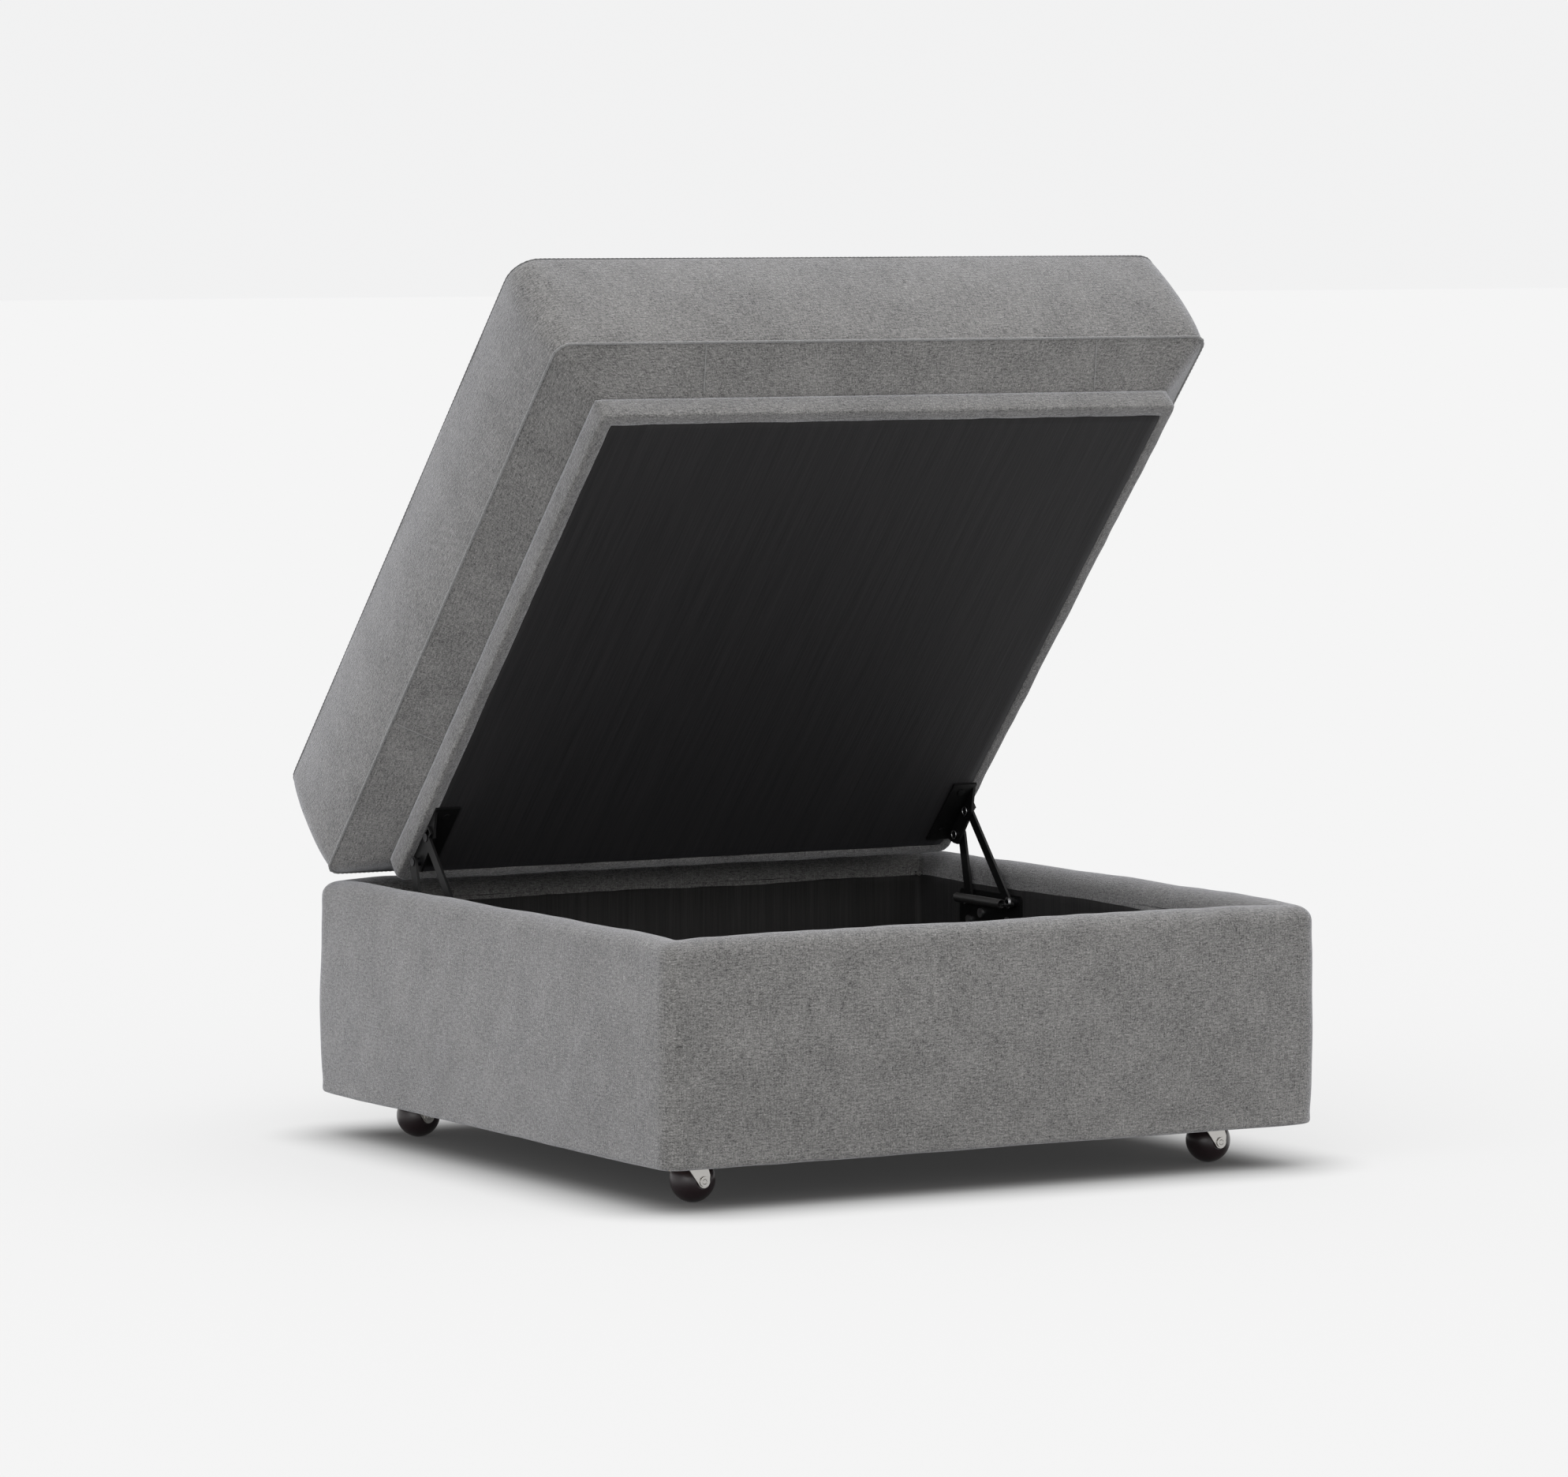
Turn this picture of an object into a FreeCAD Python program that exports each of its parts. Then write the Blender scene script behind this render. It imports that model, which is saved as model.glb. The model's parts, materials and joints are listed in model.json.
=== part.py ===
import FreeCAD, Part

# Storage ottoman: an upholstered square box on four ball casters, with a boxed
# cushion lid carried by a pair of spring-assisted lift hinges.  All lengths are
# in millimetres and all angles in degrees.  +X runs along the front, the front
# faces -Y, +Z is up, and the origin is on the floor under the middle of the box.
# The lid is modelled where it rests when it is held open.

import os
import re

import Sketcher

Vector = FreeCAD.Vector
doc = FreeCAD.newDocument("StorageOttoman")

# ---------------------------------------------------------------- dimensions

SIZES = {
    # the upholstered box
    "base_width": 838,
    "base_depth": 838,
    "base_bottom": 47,
    "rim_height": 297,
    "wall_thickness": 45,
    "base_corner": 24,
    "opening_corner": 6,
    "rim_roll": 22,
    "skirt_roll": 4,
    "fabric_thickness": 2,
    "foam_wrap": 8,
    "foam_cap": 20,
    "inner_band": 32,
    # the timber frame
    "panel_thickness": 18,
    "rail_height": 80,
    "board_thickness": 12,
    "board_recess": 16,
    "cleat_width": 16,
    "lining_gap": 0.5,
    "dust_cloth": 1,
    # the lid
    "lid_side": 134,
    "lid_corner": 38,
    "lid_crown": 8,
    "crown_inset": 28,
    "border_drop": 37,
    "plinth_height": 25,
    "plinth_clearance": 4,
    "plinth_corner": 12,
    "plinth_margin": 15,
    "lid_board_thickness": 18,
    "lid_board_inset": 6,
    "welt_width": 2,
    "welt_height": 3,
    # where the open lid stands
    "open_angle": 47.55,
    "lid_forward": 35.2,
    "lid_rise": 6.5,
    # the lift hinges
    "plate_thickness": 3,
    "bar_thickness": 3,
    "rear_bar_width": 14,
    "front_bar_width": 12,
    "rear_bar_gap": 3,
    "bar_gap": 1.5,
    "lug_gap": 0.5,
    "rear_pivot_setback": 127.3,
    "rear_pivot_depth": 49.6,
    "front_pivot_setback": 222.1,
    "front_pivot_depth": 46.0,
    "lid_rear_setback": 46.7,
    "lid_rear_drop": 12.9,
    "lid_front_setback": 84.8,
    "lid_front_drop": 10.7,
    "rivet_radius": 2.2,
    "pivot_radius": 3.0,
    "running_clearance": 0.06,
    "rivet_head": 6.0,
    "stud_head": 4.9,
    "head_thickness": 1.0,
    "cap_thickness": 2.5,
    "slot_reach": 8.4,
    "slot_rise": 2.5,
    "slot_clearance": 0.15,
    "slot_wall": 1.8,
    "spring_radius": 5.2,
    "spring_wire": 1.2,
    "spring_post": 1.5,
    "spring_plane": 9.6,
    "hinge_plate_back": 30,
    "hinge_plate_front": 12,
    "hinge_plate_top": 7.5,
    "hinge_plate_bottom": 36,
    "hinge_plate_corner": 6,
    "flange_width": 28,
    "flange_front": 38,
    "flange_back": 18,
    "lug_reach": 9,
    "bolt_radius": 3,
    "bolt_head": 5.5,
    "bolt_length": 12,
    "screw_radius": 2,
    "screw_head": 4.5,
    # the ball casters
    "ball_radius": 25,
    "ball_to_crown": 3,
    "ball_flat": 23.5,
    "axle_radius": 3,
    "axle_head": 5.5,
    "trail_length": 13,
    "wheel_inset_left": 87,
    "wheel_inset_right": 87,
    "wheel_inset_depth": 97,
    "leg_thickness": 2,
    "leg_gap": 0.7,
    "leg_eye": 7,
    "crown_low": 53,
    "crown_thickness": 3,
    "crown_length": 28,
    "race_outer": 14,
    "race_inner": 8,
    "race_gap": 0.3,
    "kingpin_radius": 4,
    "kingpin_head": 6,
    "caster_plate": 46,
    "caster_plate_thickness": 2,
    "caster_hole_pitch": 34,
}

sheet = doc.addObject("Spreadsheet::Sheet", "Sizes")
for row, (alias, value) in enumerate(SIZES.items(), start=1):
    sheet.set("A%d" % row, alias)
    sheet.set("B%d" % row, str(value))
    sheet.setAlias("B%d" % row, alias)
doc.recompute()


def linked(text):
    """Turn every size's name in an expression into a reference to its cell."""
    return re.sub(r"\b[a-z]+(?:_[a-z]+)+\b", lambda word: "Sizes." + word.group(0), text)


def value_of(text):
    """The number that an expression of sizes gives now."""
    return float(sheet.evalExpression(linked(text)))


def bind(obj, prop, text):
    obj.setExpression(prop, linked(text))


# ------------------------------------------------------------ derived places

SKIN = "fabric_thickness"
HALF_X = "(base_width / 2)"
HALF_Y = "(base_depth / 2)"
OPEN_X = "(base_width / 2 - wall_thickness)"
OPEN_Y = "(base_depth / 2 - wall_thickness)"
FRAME_X = "(base_width / 2 - fabric_thickness - foam_wrap)"
FRAME_Y = "(base_depth / 2 - fabric_thickness - foam_wrap)"
PANEL_X = "(base_width / 2 - fabric_thickness - foam_wrap - panel_thickness)"
PANEL_Y = "(base_depth / 2 - fabric_thickness - foam_wrap - panel_thickness)"
RAIL_X = "(base_width / 2 - wall_thickness + fabric_thickness)"
RAIL_Y = "(base_depth / 2 - wall_thickness + fabric_thickness)"
FRAME_LOW = "(base_bottom + fabric_thickness)"
FRAME_TOP = "(rim_height - fabric_thickness - foam_cap)"
BOARD_LOW = "(base_bottom + board_recess)"
BOARD_TOP = "(base_bottom + board_recess + board_thickness)"
BAND_LOW = "(rim_height - inner_band)"

# The lid's own frame has its origin on the lower seam, midway along the back.
LID_Y = "(base_depth / 2 - lid_forward)"
LID_Z = "(rim_height + lid_rise)"
PLINTH_INSET = "(wall_thickness + plinth_clearance)"
PLINTH_X = "(base_width / 2 - wall_thickness - plinth_clearance)"
PLINTH_BOTTOM = "(border_drop + plinth_height)"

# The four pivots of a lift hinge, looking along X: rear and front on the box,
# rear and front on the lid.
REAR_Y = "(base_depth / 2 - wall_thickness - rear_pivot_setback)"
REAR_Z = "(rim_height - rear_pivot_depth)"
FRONT_Y = "(base_depth / 2 - wall_thickness - front_pivot_setback)"
FRONT_Z = "(rim_height - front_pivot_depth)"
LID_REAR_Y = "(0 - wall_thickness - plinth_clearance - lid_rear_setback)"
LID_REAR_Z = "(0 - border_drop - plinth_height - lid_rear_drop)"
LID_FRONT_Y = "(0 - wall_thickness - plinth_clearance - lid_front_setback)"
LID_FRONT_Z = "(0 - border_drop - plinth_height - lid_front_drop)"


def opened(along, up):
    """World Y and Z of a point of the lid, given in the lid's own frame."""
    world_y = "(%s + %s * cos(open_angle) + %s * sin(open_angle))" % (LID_Y, along, up)
    world_z = "(%s - %s * sin(open_angle) + %s * cos(open_angle))" % (LID_Z, along, up)
    return world_y, world_z


REAR_END = opened(LID_REAR_Y, LID_REAR_Z)
FRONT_END = opened(LID_FRONT_Y, LID_FRONT_Z)

# Layers of a lift hinge, measured inwards from the lining of the side wall.
REAR_BAR_AT = "(plate_thickness + rear_bar_gap)"
FRONT_BAR_AT = "(plate_thickness + rear_bar_gap + bar_thickness + bar_gap)"
LUG_AT = "(plate_thickness + rear_bar_gap + 2 * bar_thickness + bar_gap + lug_gap)"
LUG_FACE = "(plate_thickness * 2 + rear_bar_gap + 2 * bar_thickness + bar_gap + lug_gap)"

# ------------------------------------------------------------------- helpers

nodes = []


def keep(obj, label):
    """Name a finished sub-part, so that it is checked and written out."""
    obj.Label = label
    nodes.append(obj)
    return obj


def place(obj, x="0", y="0", z="0"):
    for axis, text in zip("xyz", (x, y, z)):
        bind(obj, "Placement.Base." + axis, text)
    return obj


def place_in_lid(obj):
    """Stand a piece that is drawn in the lid's frame where the open lid is."""
    obj.Placement = FreeCAD.Placement(Vector(), FreeCAD.Rotation(Vector(1, 0, 0), -1))
    bind(obj, "Placement.Rotation.Angle", "0 - open_angle")
    return place(obj, "0", LID_Y, LID_Z)


def box(name, size, at):
    solid = doc.addObject("Part::Box", name)
    for prop, text in zip(("Length", "Width", "Height"), size):
        bind(solid, prop, text)
    return place(solid, *at)


def centred_box(name, half_x, half_y, low, high):
    """A box about the middle of the ottoman, from one height to another."""
    size = ("2 * " + half_x, "2 * " + half_y, "(%s) - (%s)" % (high, low))
    return box(name, size, ("0 - " + half_x, "0 - " + half_y, low))


TURNS = {
    "x": FreeCAD.Rotation(Vector(0, 1, 0), 90),
    "y": FreeCAD.Rotation(Vector(1, 0, 0), -90),
    "z": FreeCAD.Rotation(),
}


def cylinder(name, radius, length, at, axis):
    solid = doc.addObject("Part::Cylinder", name)
    solid.Placement = FreeCAD.Placement(Vector(), TURNS[axis])
    bind(solid, "Radius", radius)
    bind(solid, "Height", length)
    return place(solid, *at)


def combine(kind, name, pieces):
    result = doc.addObject(kind, name)
    result.Shapes = pieces
    return result


def fuse(name, *pieces):
    return combine("Part::MultiFuse", name, list(pieces))


def common(name, *pieces):
    return combine("Part::MultiCommon", name, list(pieces))


def cut(name, base, *tools):
    result = doc.addObject("Part::Cut", name)
    result.Base = base
    result.Tool = tools[0] if len(tools) == 1 else fuse(name + "_tools", *tools)
    return result


def group(label, pieces):
    """Several alike solids that share one node."""
    compound = doc.addObject("Part::Compound", label)
    compound.Links = pieces
    return keep(compound, label)


def new_body(name):
    return doc.addObject("PartDesign::Body", name)


def new_sketch(body, name, plane, offset="0"):
    """A sketch on one of the body's own origin planes, moved along its normal."""
    sketch = body.newObject("Sketcher::SketchObject", name)
    support = [item for item in body.Origin.OriginFeatures if item.Role == plane][0]
    sketch.AttachmentSupport = [(support, "")]
    sketch.MapMode = "FlatFace"
    bind(sketch, "AttachmentOffset.Base.z", offset)
    return sketch


def pin_point(sketch, geometry, end, x=None, y=None):
    """Tie a point of a sketch to distances from the sketch's origin."""
    for kind, text in (("DistanceX", x), ("DistanceY", y)):
        if text is not None:
            number = value_of(text)
            index = sketch.addConstraint(
                Sketcher.Constraint(kind, -1, 1, geometry, end, number))
            bind(sketch, "Constraints[%d]" % index, text)


def draw_outline(sketch, corners):
    """A closed outline of straight lines through corners given as expressions."""
    points = [Vector(value_of(x), value_of(y), 0) for x, y in corners]
    count = len(points)
    for i in range(count):
        sketch.addGeometry(Part.LineSegment(points[i], points[(i + 1) % count]), False)
    for i in range(count):
        sketch.addConstraint(Sketcher.Constraint("Coincident", i, 2, (i + 1) % count, 1))
    for i, (x, y) in enumerate(corners):
        pin_point(sketch, i, 1, x, y)


def draw_rounded(sketch, west, east, south, north, radius):
    """A rectangle with rounded corners between four lines given as expressions."""
    w, e, s, n, r = [value_of(text) for text in (west, east, south, north, radius)]
    first = sketch.GeometryCount
    runs = [((w + r, s), (e - r, s)), ((e, s + r), (e, n - r)),
            ((e - r, n), (w + r, n)), ((w, n - r), (w, s + r))]
    for start, end in runs:
        sketch.addGeometry(Part.LineSegment(Vector(*start, 0), Vector(*end, 0)), False)
    quarter = 1.5707963267948966
    centres = [(e - r, s + r), (e - r, n - r), (w + r, n - r), (w + r, s + r)]
    for i, centre in enumerate(centres):
        circle = Part.Circle(Vector(*centre, 0), Vector(0, 0, 1), r)
        arc = Part.ArcOfCircle(circle, (i - 1) * quarter, i * quarter)
        sketch.addGeometry(arc, False)
    for i in range(4):
        line, arc, following = first + i, first + 4 + i, first + (i + 1) % 4
        sketch.addConstraint(Sketcher.Constraint("Tangent", line, 2, arc, 1))
        sketch.addConstraint(Sketcher.Constraint("Tangent", arc, 2, following, 1))
        turn = "Horizontal" if i % 2 == 0 else "Vertical"
        sketch.addConstraint(Sketcher.Constraint(turn, line))
    for i in range(1, 4):
        sketch.addConstraint(Sketcher.Constraint("Equal", first + 4, first + 4 + i))
    pin_point(sketch, first, 1, y=south)
    pin_point(sketch, first + 1, 1, x=east)
    pin_point(sketch, first + 2, 1, y=north)
    pin_point(sketch, first + 3, 1, x=west)
    index = sketch.addConstraint(Sketcher.Constraint("Radius", first + 4, r))
    bind(sketch, "Constraints[%d]" % index, radius)


def pad(body, sketch, length, name):
    feature = body.newObject("PartDesign::Pad", name)
    feature.Profile = sketch
    bind(feature, "Length", length)
    return feature


def rounded_block(name, half_x, half_y, low, high, radius):
    """A block about the middle of the ottoman, rounded in plan."""
    body = new_body(name)
    sketch = new_sketch(body, name + "_plan", "XY_Plane", low)
    draw_rounded(sketch, "0 - " + half_x, half_x, "0 - " + half_y, half_y, radius)
    pad(body, sketch, "%s - %s" % (high, low), name + "_pad")
    return body


def face_at(feature, height):
    """The name of the level face of a feature that lies at a height."""
    for index, face in enumerate(feature.Shape.Faces, start=1):
        level = face.BoundBox.ZMax - face.BoundBox.ZMin < 1e-6
        if level and abs(face.BoundBox.ZMin - height) < 1e-6:
            return "Face%d" % index
    raise ValueError("%s has no level face at %s" % (feature.Label, height))


def round_face(body, feature, height, radius, name):
    """Round every edge of a level face."""
    doc.recompute()
    fillet = body.newObject("PartDesign::Fillet", name)
    fillet.Base = (feature, [face_at(feature, value_of(height))])
    bind(fillet, "Radius", radius)
    return fillet


# ------------------------------------------------------------ the timber box

def build_frame():
    """Plywood panels, top rails, corner posts, bottom board and cleats."""
    height = "%s - %s" % (FRAME_TOP, FRAME_LOW)
    across = "2 * " + FRAME_X
    between = "2 * " + PANEL_Y
    for label, y in (("front_panel", "0 - " + FRAME_Y), ("back_panel", PANEL_Y)):
        size = (across, "panel_thickness", height)
        keep(box(label, size, ("0 - " + FRAME_X, y, FRAME_LOW)), label)
    for label, x in (("left_panel", "0 - " + FRAME_X), ("right_panel", PANEL_X)):
        size = ("panel_thickness", between, height)
        keep(box(label, size, (x, "0 - " + PANEL_Y, FRAME_LOW)), label)

    rail_depth = "(%s - %s)" % (PANEL_X, RAIL_X)
    rail_low = FRAME_TOP + " - rail_height"
    for label, y in (("top_rail_front", "0 - " + PANEL_Y), ("top_rail_back", RAIL_Y)):
        size = ("2 * " + RAIL_X, rail_depth, "rail_height")
        keep(box(label, size, ("0 - " + RAIL_X, y, rail_low)), label)
    for label, x in (("top_rail_left", "0 - " + PANEL_X), ("top_rail_right", RAIL_X)):
        size = (rail_depth, "2 * " + RAIL_Y, "rail_height")
        keep(box(label, size, (x, "0 - " + RAIL_Y, rail_low)), label)

    posts = []
    for index, (x, y) in enumerate((
            ("0 - " + PANEL_X, "0 - " + PANEL_Y), (RAIL_X, "0 - " + PANEL_Y),
            ("0 - " + PANEL_X, RAIL_Y), (RAIL_X, RAIL_Y))):
        size = (rail_depth, rail_depth, "%s - %s" % (FRAME_TOP, BOARD_TOP))
        posts.append(box("post_%d" % index, size, (x, y, BOARD_TOP)))
    group("corner_posts", posts)

    board = centred_box("bottom_board", PANEL_X, PANEL_Y, BOARD_LOW, BOARD_TOP)
    keep(board, "bottom_board")

    cleats = []
    drop = "%s - %s" % (BOARD_LOW, FRAME_LOW)
    for index, y in enumerate(("0 - " + PANEL_Y, PANEL_Y + " - cleat_width")):
        size = ("2 * " + PANEL_X, "cleat_width", drop)
        cleats.append(box("cleat_across_%d" % index, size, ("0 - " + PANEL_X, y, FRAME_LOW)))
    for index, x in enumerate(("0 - " + PANEL_X, PANEL_X + " - cleat_width")):
        size = ("cleat_width", "2 * (%s - cleat_width)" % PANEL_Y, drop)
        at = (x, "0 - (%s - cleat_width)" % PANEL_Y, FRAME_LOW)
        cleats.append(box("cleat_along_%d" % index, size, at))
    group("bottom_cleats", cleats)


# -------------------------------------------------- upholstery of the box


def rim_ring(name, inset):
    """The upholstered wall as one ring with a rolled rim, drawn in by an inset."""
    body = new_body(name)
    low = "(base_bottom + %s)" % inset
    high = "(rim_height - %s)" % inset
    sketch = new_sketch(body, name + "_plan", "XY_Plane", low)
    draw_rounded(sketch,
                 "0 - (%s - %s)" % (HALF_X, inset), "%s - %s" % (HALF_X, inset),
                 "0 - (%s - %s)" % (HALF_Y, inset), "%s - %s" % (HALF_Y, inset),
                 "base_corner - " + inset)
    draw_rounded(sketch,
                 "0 - (%s + %s)" % (OPEN_X, inset), "%s + %s" % (OPEN_X, inset),
                 "0 - (%s + %s)" % (OPEN_Y, inset), "%s + %s" % (OPEN_Y, inset),
                 "opening_corner + " + inset)
    wall = pad(body, sketch, "%s - %s" % (high, low), name + "_pad")
    rim = round_face(body, wall, high, "rim_roll - " + inset, name + "_rim")
    skirt_edges(body, rim, low, "skirt_roll - " + inset, name + "_skirt")
    return body


def skirt_edges(body, feature, height, radius, name):
    """Round the outer lower edge, where the fabric turns under the box."""
    doc.recompute()
    level = value_of(height)
    reach = value_of(OPEN_X) + value_of("wall_thickness") / 2
    names = []
    for index, edge in enumerate(feature.Shape.Edges, start=1):
        limits = edge.BoundBox
        low = abs(limits.ZMin - level) < 1e-6 and abs(limits.ZMax - level) < 1e-6
        middle = edge.valueAt((edge.FirstParameter + edge.LastParameter) / 2)
        if low and max(abs(middle.x), abs(middle.y)) > reach:
            names.append("Edge%d" % index)
    fillet = body.newObject("PartDesign::Fillet", name)
    fillet.Base = (feature, names)
    bind(fillet, "Radius", radius)
    return fillet


def build_base_soft_parts():
    """Foam wrap, woven cover, lining and dust cloth of the box."""
    outside = rim_ring("cover_outside", "0 * fabric_thickness")
    inside = rim_ring("cover_inside", SKIN)

    timber = centred_box("timber_block", FRAME_X, FRAME_Y, FRAME_LOW + " - 1", FRAME_TOP)
    wrap = cut("foam_ring", inside, timber)
    wall = "wall_thickness"
    blocks = {}
    for side, y in (("front", "0 - %s - %s" % (RAIL_Y, wall)), ("back", RAIL_Y)):
        blocks[side] = ("2 * " + RAIL_X, wall, "0 - " + RAIL_X, y)
        for end, x in (("left", "0 - %s - %s" % (RAIL_X, wall)), ("right", RAIL_X)):
            blocks["%s_%s" % (side, end)] = (wall, wall, x, y)
    for side, x in (("left", "0 - %s - %s" % (RAIL_X, wall)), ("right", RAIL_X)):
        blocks[side] = (wall, "2 * " + RAIL_Y, x, "0 - " + RAIL_Y)
    strips = []
    for side, (length, width, x, y) in blocks.items():
        region = box("region_" + side, (length, width, "rim_height"), (x, y, "0 * rim_height"))
        strips.append(common("foam_" + side, wrap, region))
    group("base_foam", strips)

    below_band = centred_box("below_band", RAIL_X, RAIL_Y, "0 * base_width", BAND_LOW)
    keep(cut("base_cover", outside, inside, below_band), "base_cover")

    lining = []
    height = "%s - lining_gap - %s" % (BAND_LOW, BOARD_TOP)
    for index, y in enumerate(("0 - " + RAIL_Y, OPEN_Y)):
        size = ("2 * " + RAIL_X, SKIN, height)
        lining.append(box("lining_across_%d" % index, size, ("0 - " + RAIL_X, y, BOARD_TOP)))
    for index, x in enumerate(("0 - " + RAIL_X, OPEN_X)):
        size = (SKIN, "2 * " + OPEN_Y, height)
        lining.append(box("lining_along_%d" % index, size, (x, "0 - " + OPEN_Y, BOARD_TOP)))
    group("lining_walls", lining)
    keep(centred_box("lining_floor", OPEN_X, OPEN_Y, BOARD_TOP, BOARD_TOP + " + " + SKIN),
         "lining_floor")

    cloth_x = "(%s - cleat_width)" % PANEL_X
    cloth_y = "(%s - cleat_width)" % PANEL_Y
    cloth = centred_box("base_dust_cover", cloth_x, cloth_y, BOARD_LOW + " - dust_cloth", BOARD_LOW)
    keep(cloth, "base_dust_cover")


# --------------------------------------------------------------------- the lid


def lid_section(body, name, height, inset, radius):
    """A rounded square of the lid, a given distance in from its sides."""
    sketch = new_sketch(body, name, "XY_Plane", height)
    draw_rounded(sketch, "0 - (%s - (%s))" % (HALF_X, inset), "%s - (%s)" % (HALF_X, inset),
                 "(%s) - base_depth" % inset, "0 - (%s)" % inset, radius)
    return sketch


def lid_form(name, inset):
    """The boxed cushion: sloping under-border, upright sides and a low crown."""
    body = new_body(name)
    sections = (
        ("0 - border_drop", PLINTH_INSET + " + " + inset, "plinth_corner - " + inset),
        ("0 * lid_side", inset, "lid_corner - " + inset),
        ("lid_side", inset, "lid_corner - " + inset),
        ("lid_side + lid_crown - " + inset, "crown_inset + " + inset,
         "lid_corner - " + inset),
    )
    sketches = [lid_section(body, "%s_section_%d" % (name, index), *section)
                for index, section in enumerate(sections)]
    loft = body.newObject("PartDesign::AdditiveLoft", name + "_loft")
    loft.Profile = sketches[0]
    loft.Sections = sketches[1:]
    loft.Ruled = True
    return body


def lid_block(name, inset, low, high, radius):
    """A flat board or pad of the lid."""
    body = new_body(name)
    sketch = lid_section(body, name + "_plan", low, inset, radius)
    pad(body, sketch, "%s - (%s)" % (high, low), name + "_pad")
    return body


def lid_ring(name, outer_inset, inner_inset, low, high, outer_radius, inner_radius):
    """A band that runs right round the lid."""
    body = new_body(name)
    sketch = lid_section(body, name + "_plan", low, outer_inset, outer_radius)
    draw_rounded(sketch, "0 - (%s - (%s))" % (HALF_X, inner_inset),
                 "%s - (%s)" % (HALF_X, inner_inset),
                 "(%s) - base_depth" % inner_inset, "0 - (%s)" % inner_inset, inner_radius)
    pad(body, sketch, "%s - (%s)" % (high, low), name + "_pad")
    return body


def build_lid():
    """Boards, foam, cover, welts and the black underside of the lid."""
    board_low = "0 - border_drop"
    board_high = "lid_board_thickness - border_drop"
    board_inset = PLINTH_INSET + " + lid_board_inset"
    board = lid_block("lid_board", board_inset, board_low, board_high, "opening_corner")
    keep(place_in_lid(board), "lid_board")

    pocket = lid_block("board_pocket", board_inset, board_low + " - 1", board_high,
                       "opening_corner")
    inside = lid_form("lid_inside", SKIN)
    keep(place_in_lid(cut("lid_foam", inside, pocket)), "lid_foam")
    outside = lid_form("lid_outside", "0 * fabric_thickness")
    keep(place_in_lid(cut("lid_cover", outside, inside)), "lid_cover")

    for label, middle in (("welt_top", "lid_side"), ("welt_bottom", "0 * lid_side")):
        low = "%s - welt_height / 2" % middle
        high = "%s + welt_height / 2" % middle
        welt = lid_ring(label, "0 - welt_width", "0 * welt_width", low, high,
                        "lid_corner + welt_width", "lid_corner")
        keep(place_in_lid(welt), label)

    low = "0 - " + PLINTH_BOTTOM
    inner_inset = PLINTH_INSET + " + " + SKIN
    inner_radius = "plinth_corner - " + SKIN
    plinth = lid_block("plinth_board", inner_inset, low + " + " + SKIN, board_low, inner_radius)
    keep(place_in_lid(plinth), "plinth_board")

    sides = lid_ring("plinth_sides", PLINTH_INSET, inner_inset, low, board_low,
                     "plinth_corner", inner_radius)
    turned = lid_ring("plinth_turned", PLINTH_INSET + " + " + SKIN + " / 2",
                      PLINTH_INSET + " + plinth_margin", low, low + " + " + SKIN,
                      "plinth_corner - %s / 2" % SKIN, "opening_corner")
    keep(place_in_lid(fuse("plinth_cover", sides, turned)), "plinth_cover")
    panel = lid_block("lid_dust_cover", PLINTH_INSET + " + plinth_margin", low,
                      low + " + " + SKIN, "opening_corner")
    keep(place_in_lid(panel), "lid_dust_cover")


# ------------------------------------------------------------ the lift hinges


def side_at(side, depth):
    """X of a plane inside the box, a given depth inwards from the lining."""
    sign = "" if side == "right" else "0 - "
    return "%s(%s - (%s))" % (sign, OPEN_X, depth)


def disc(name, side, outer, inner, radius, y, z):
    """A round piece across the hinge, between two depths from the lining."""
    start = side_at(side, inner if side == "right" else outer)
    return cylinder(name, radius, "(%s) - (%s)" % (inner, outer), (start, y, z), "x")


def bar(name, length, width):
    """A flat bar with round ends, standing on its lower pivot."""
    straight = box(name + "_flat", ("bar_thickness", width, length),
                   ("0 - bar_thickness / 2", "0 - %s / 2" % width, "0"))
    ends = [cylinder("%s_end_%d" % (name, index), width + " / 2", "bar_thickness",
                     ("0 - bar_thickness / 2", "0", height), "x")
            for index, height in enumerate(("0", length))]
    return fuse(name + "_bar", straight, *ends)


def across_bar(name, radius, y, z):
    """A cylinder that drills right through a bar."""
    return cylinder(name, radius, "2 * bar_thickness", ("0 - bar_thickness", y, z), "x")


def spring_post(name, side, y, z, reach):
    """A lug on a bar, and the stud on its inner face that the spring hooks over."""
    start = "0 * bar_thickness" if side == "left" else "0 - (%s)" % reach
    lug = cylinder(name + "_lug", "spring_post * 2", "bar_thickness",
                   ("0 - bar_thickness / 2", y, z), "x")
    return lug, cylinder(name, "spring_post", reach, (start, y, z), "x")


def distance(start, end):
    return "sqrt((%s - %s)^2 + (%s - %s)^2)" % (end[0], start[0], end[1], start[1])


def stand(obj, side, depth, start, end):
    """Stand a bar on its lower pivot and lean it towards its upper one."""
    lean = "-1 * atan2(%s - %s; %s - %s)" % (end[0], start[0], end[1], start[1])
    obj.Placement = FreeCAD.Placement(Vector(), FreeCAD.Rotation(Vector(1, 0, 0), -1))
    bind(obj, "Placement.Rotation.Angle", lean)
    return place(obj, side_at(side, depth + " + bar_thickness / 2"), *start)


# Where the spring's two studs stand, across and along the bars that carry them,
# and how far each one reaches inwards from the middle of its bar.
SPRING_REACH = "(spring_plane + bar_thickness / 2 + spring_wire * 2)"
REAR_SPRING = ("8.2", "5.9", SPRING_REACH + " + bar_thickness + bar_gap")
FRONT_SPRING = ("0 - 3.9", "0 - 5.8", SPRING_REACH)


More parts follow.
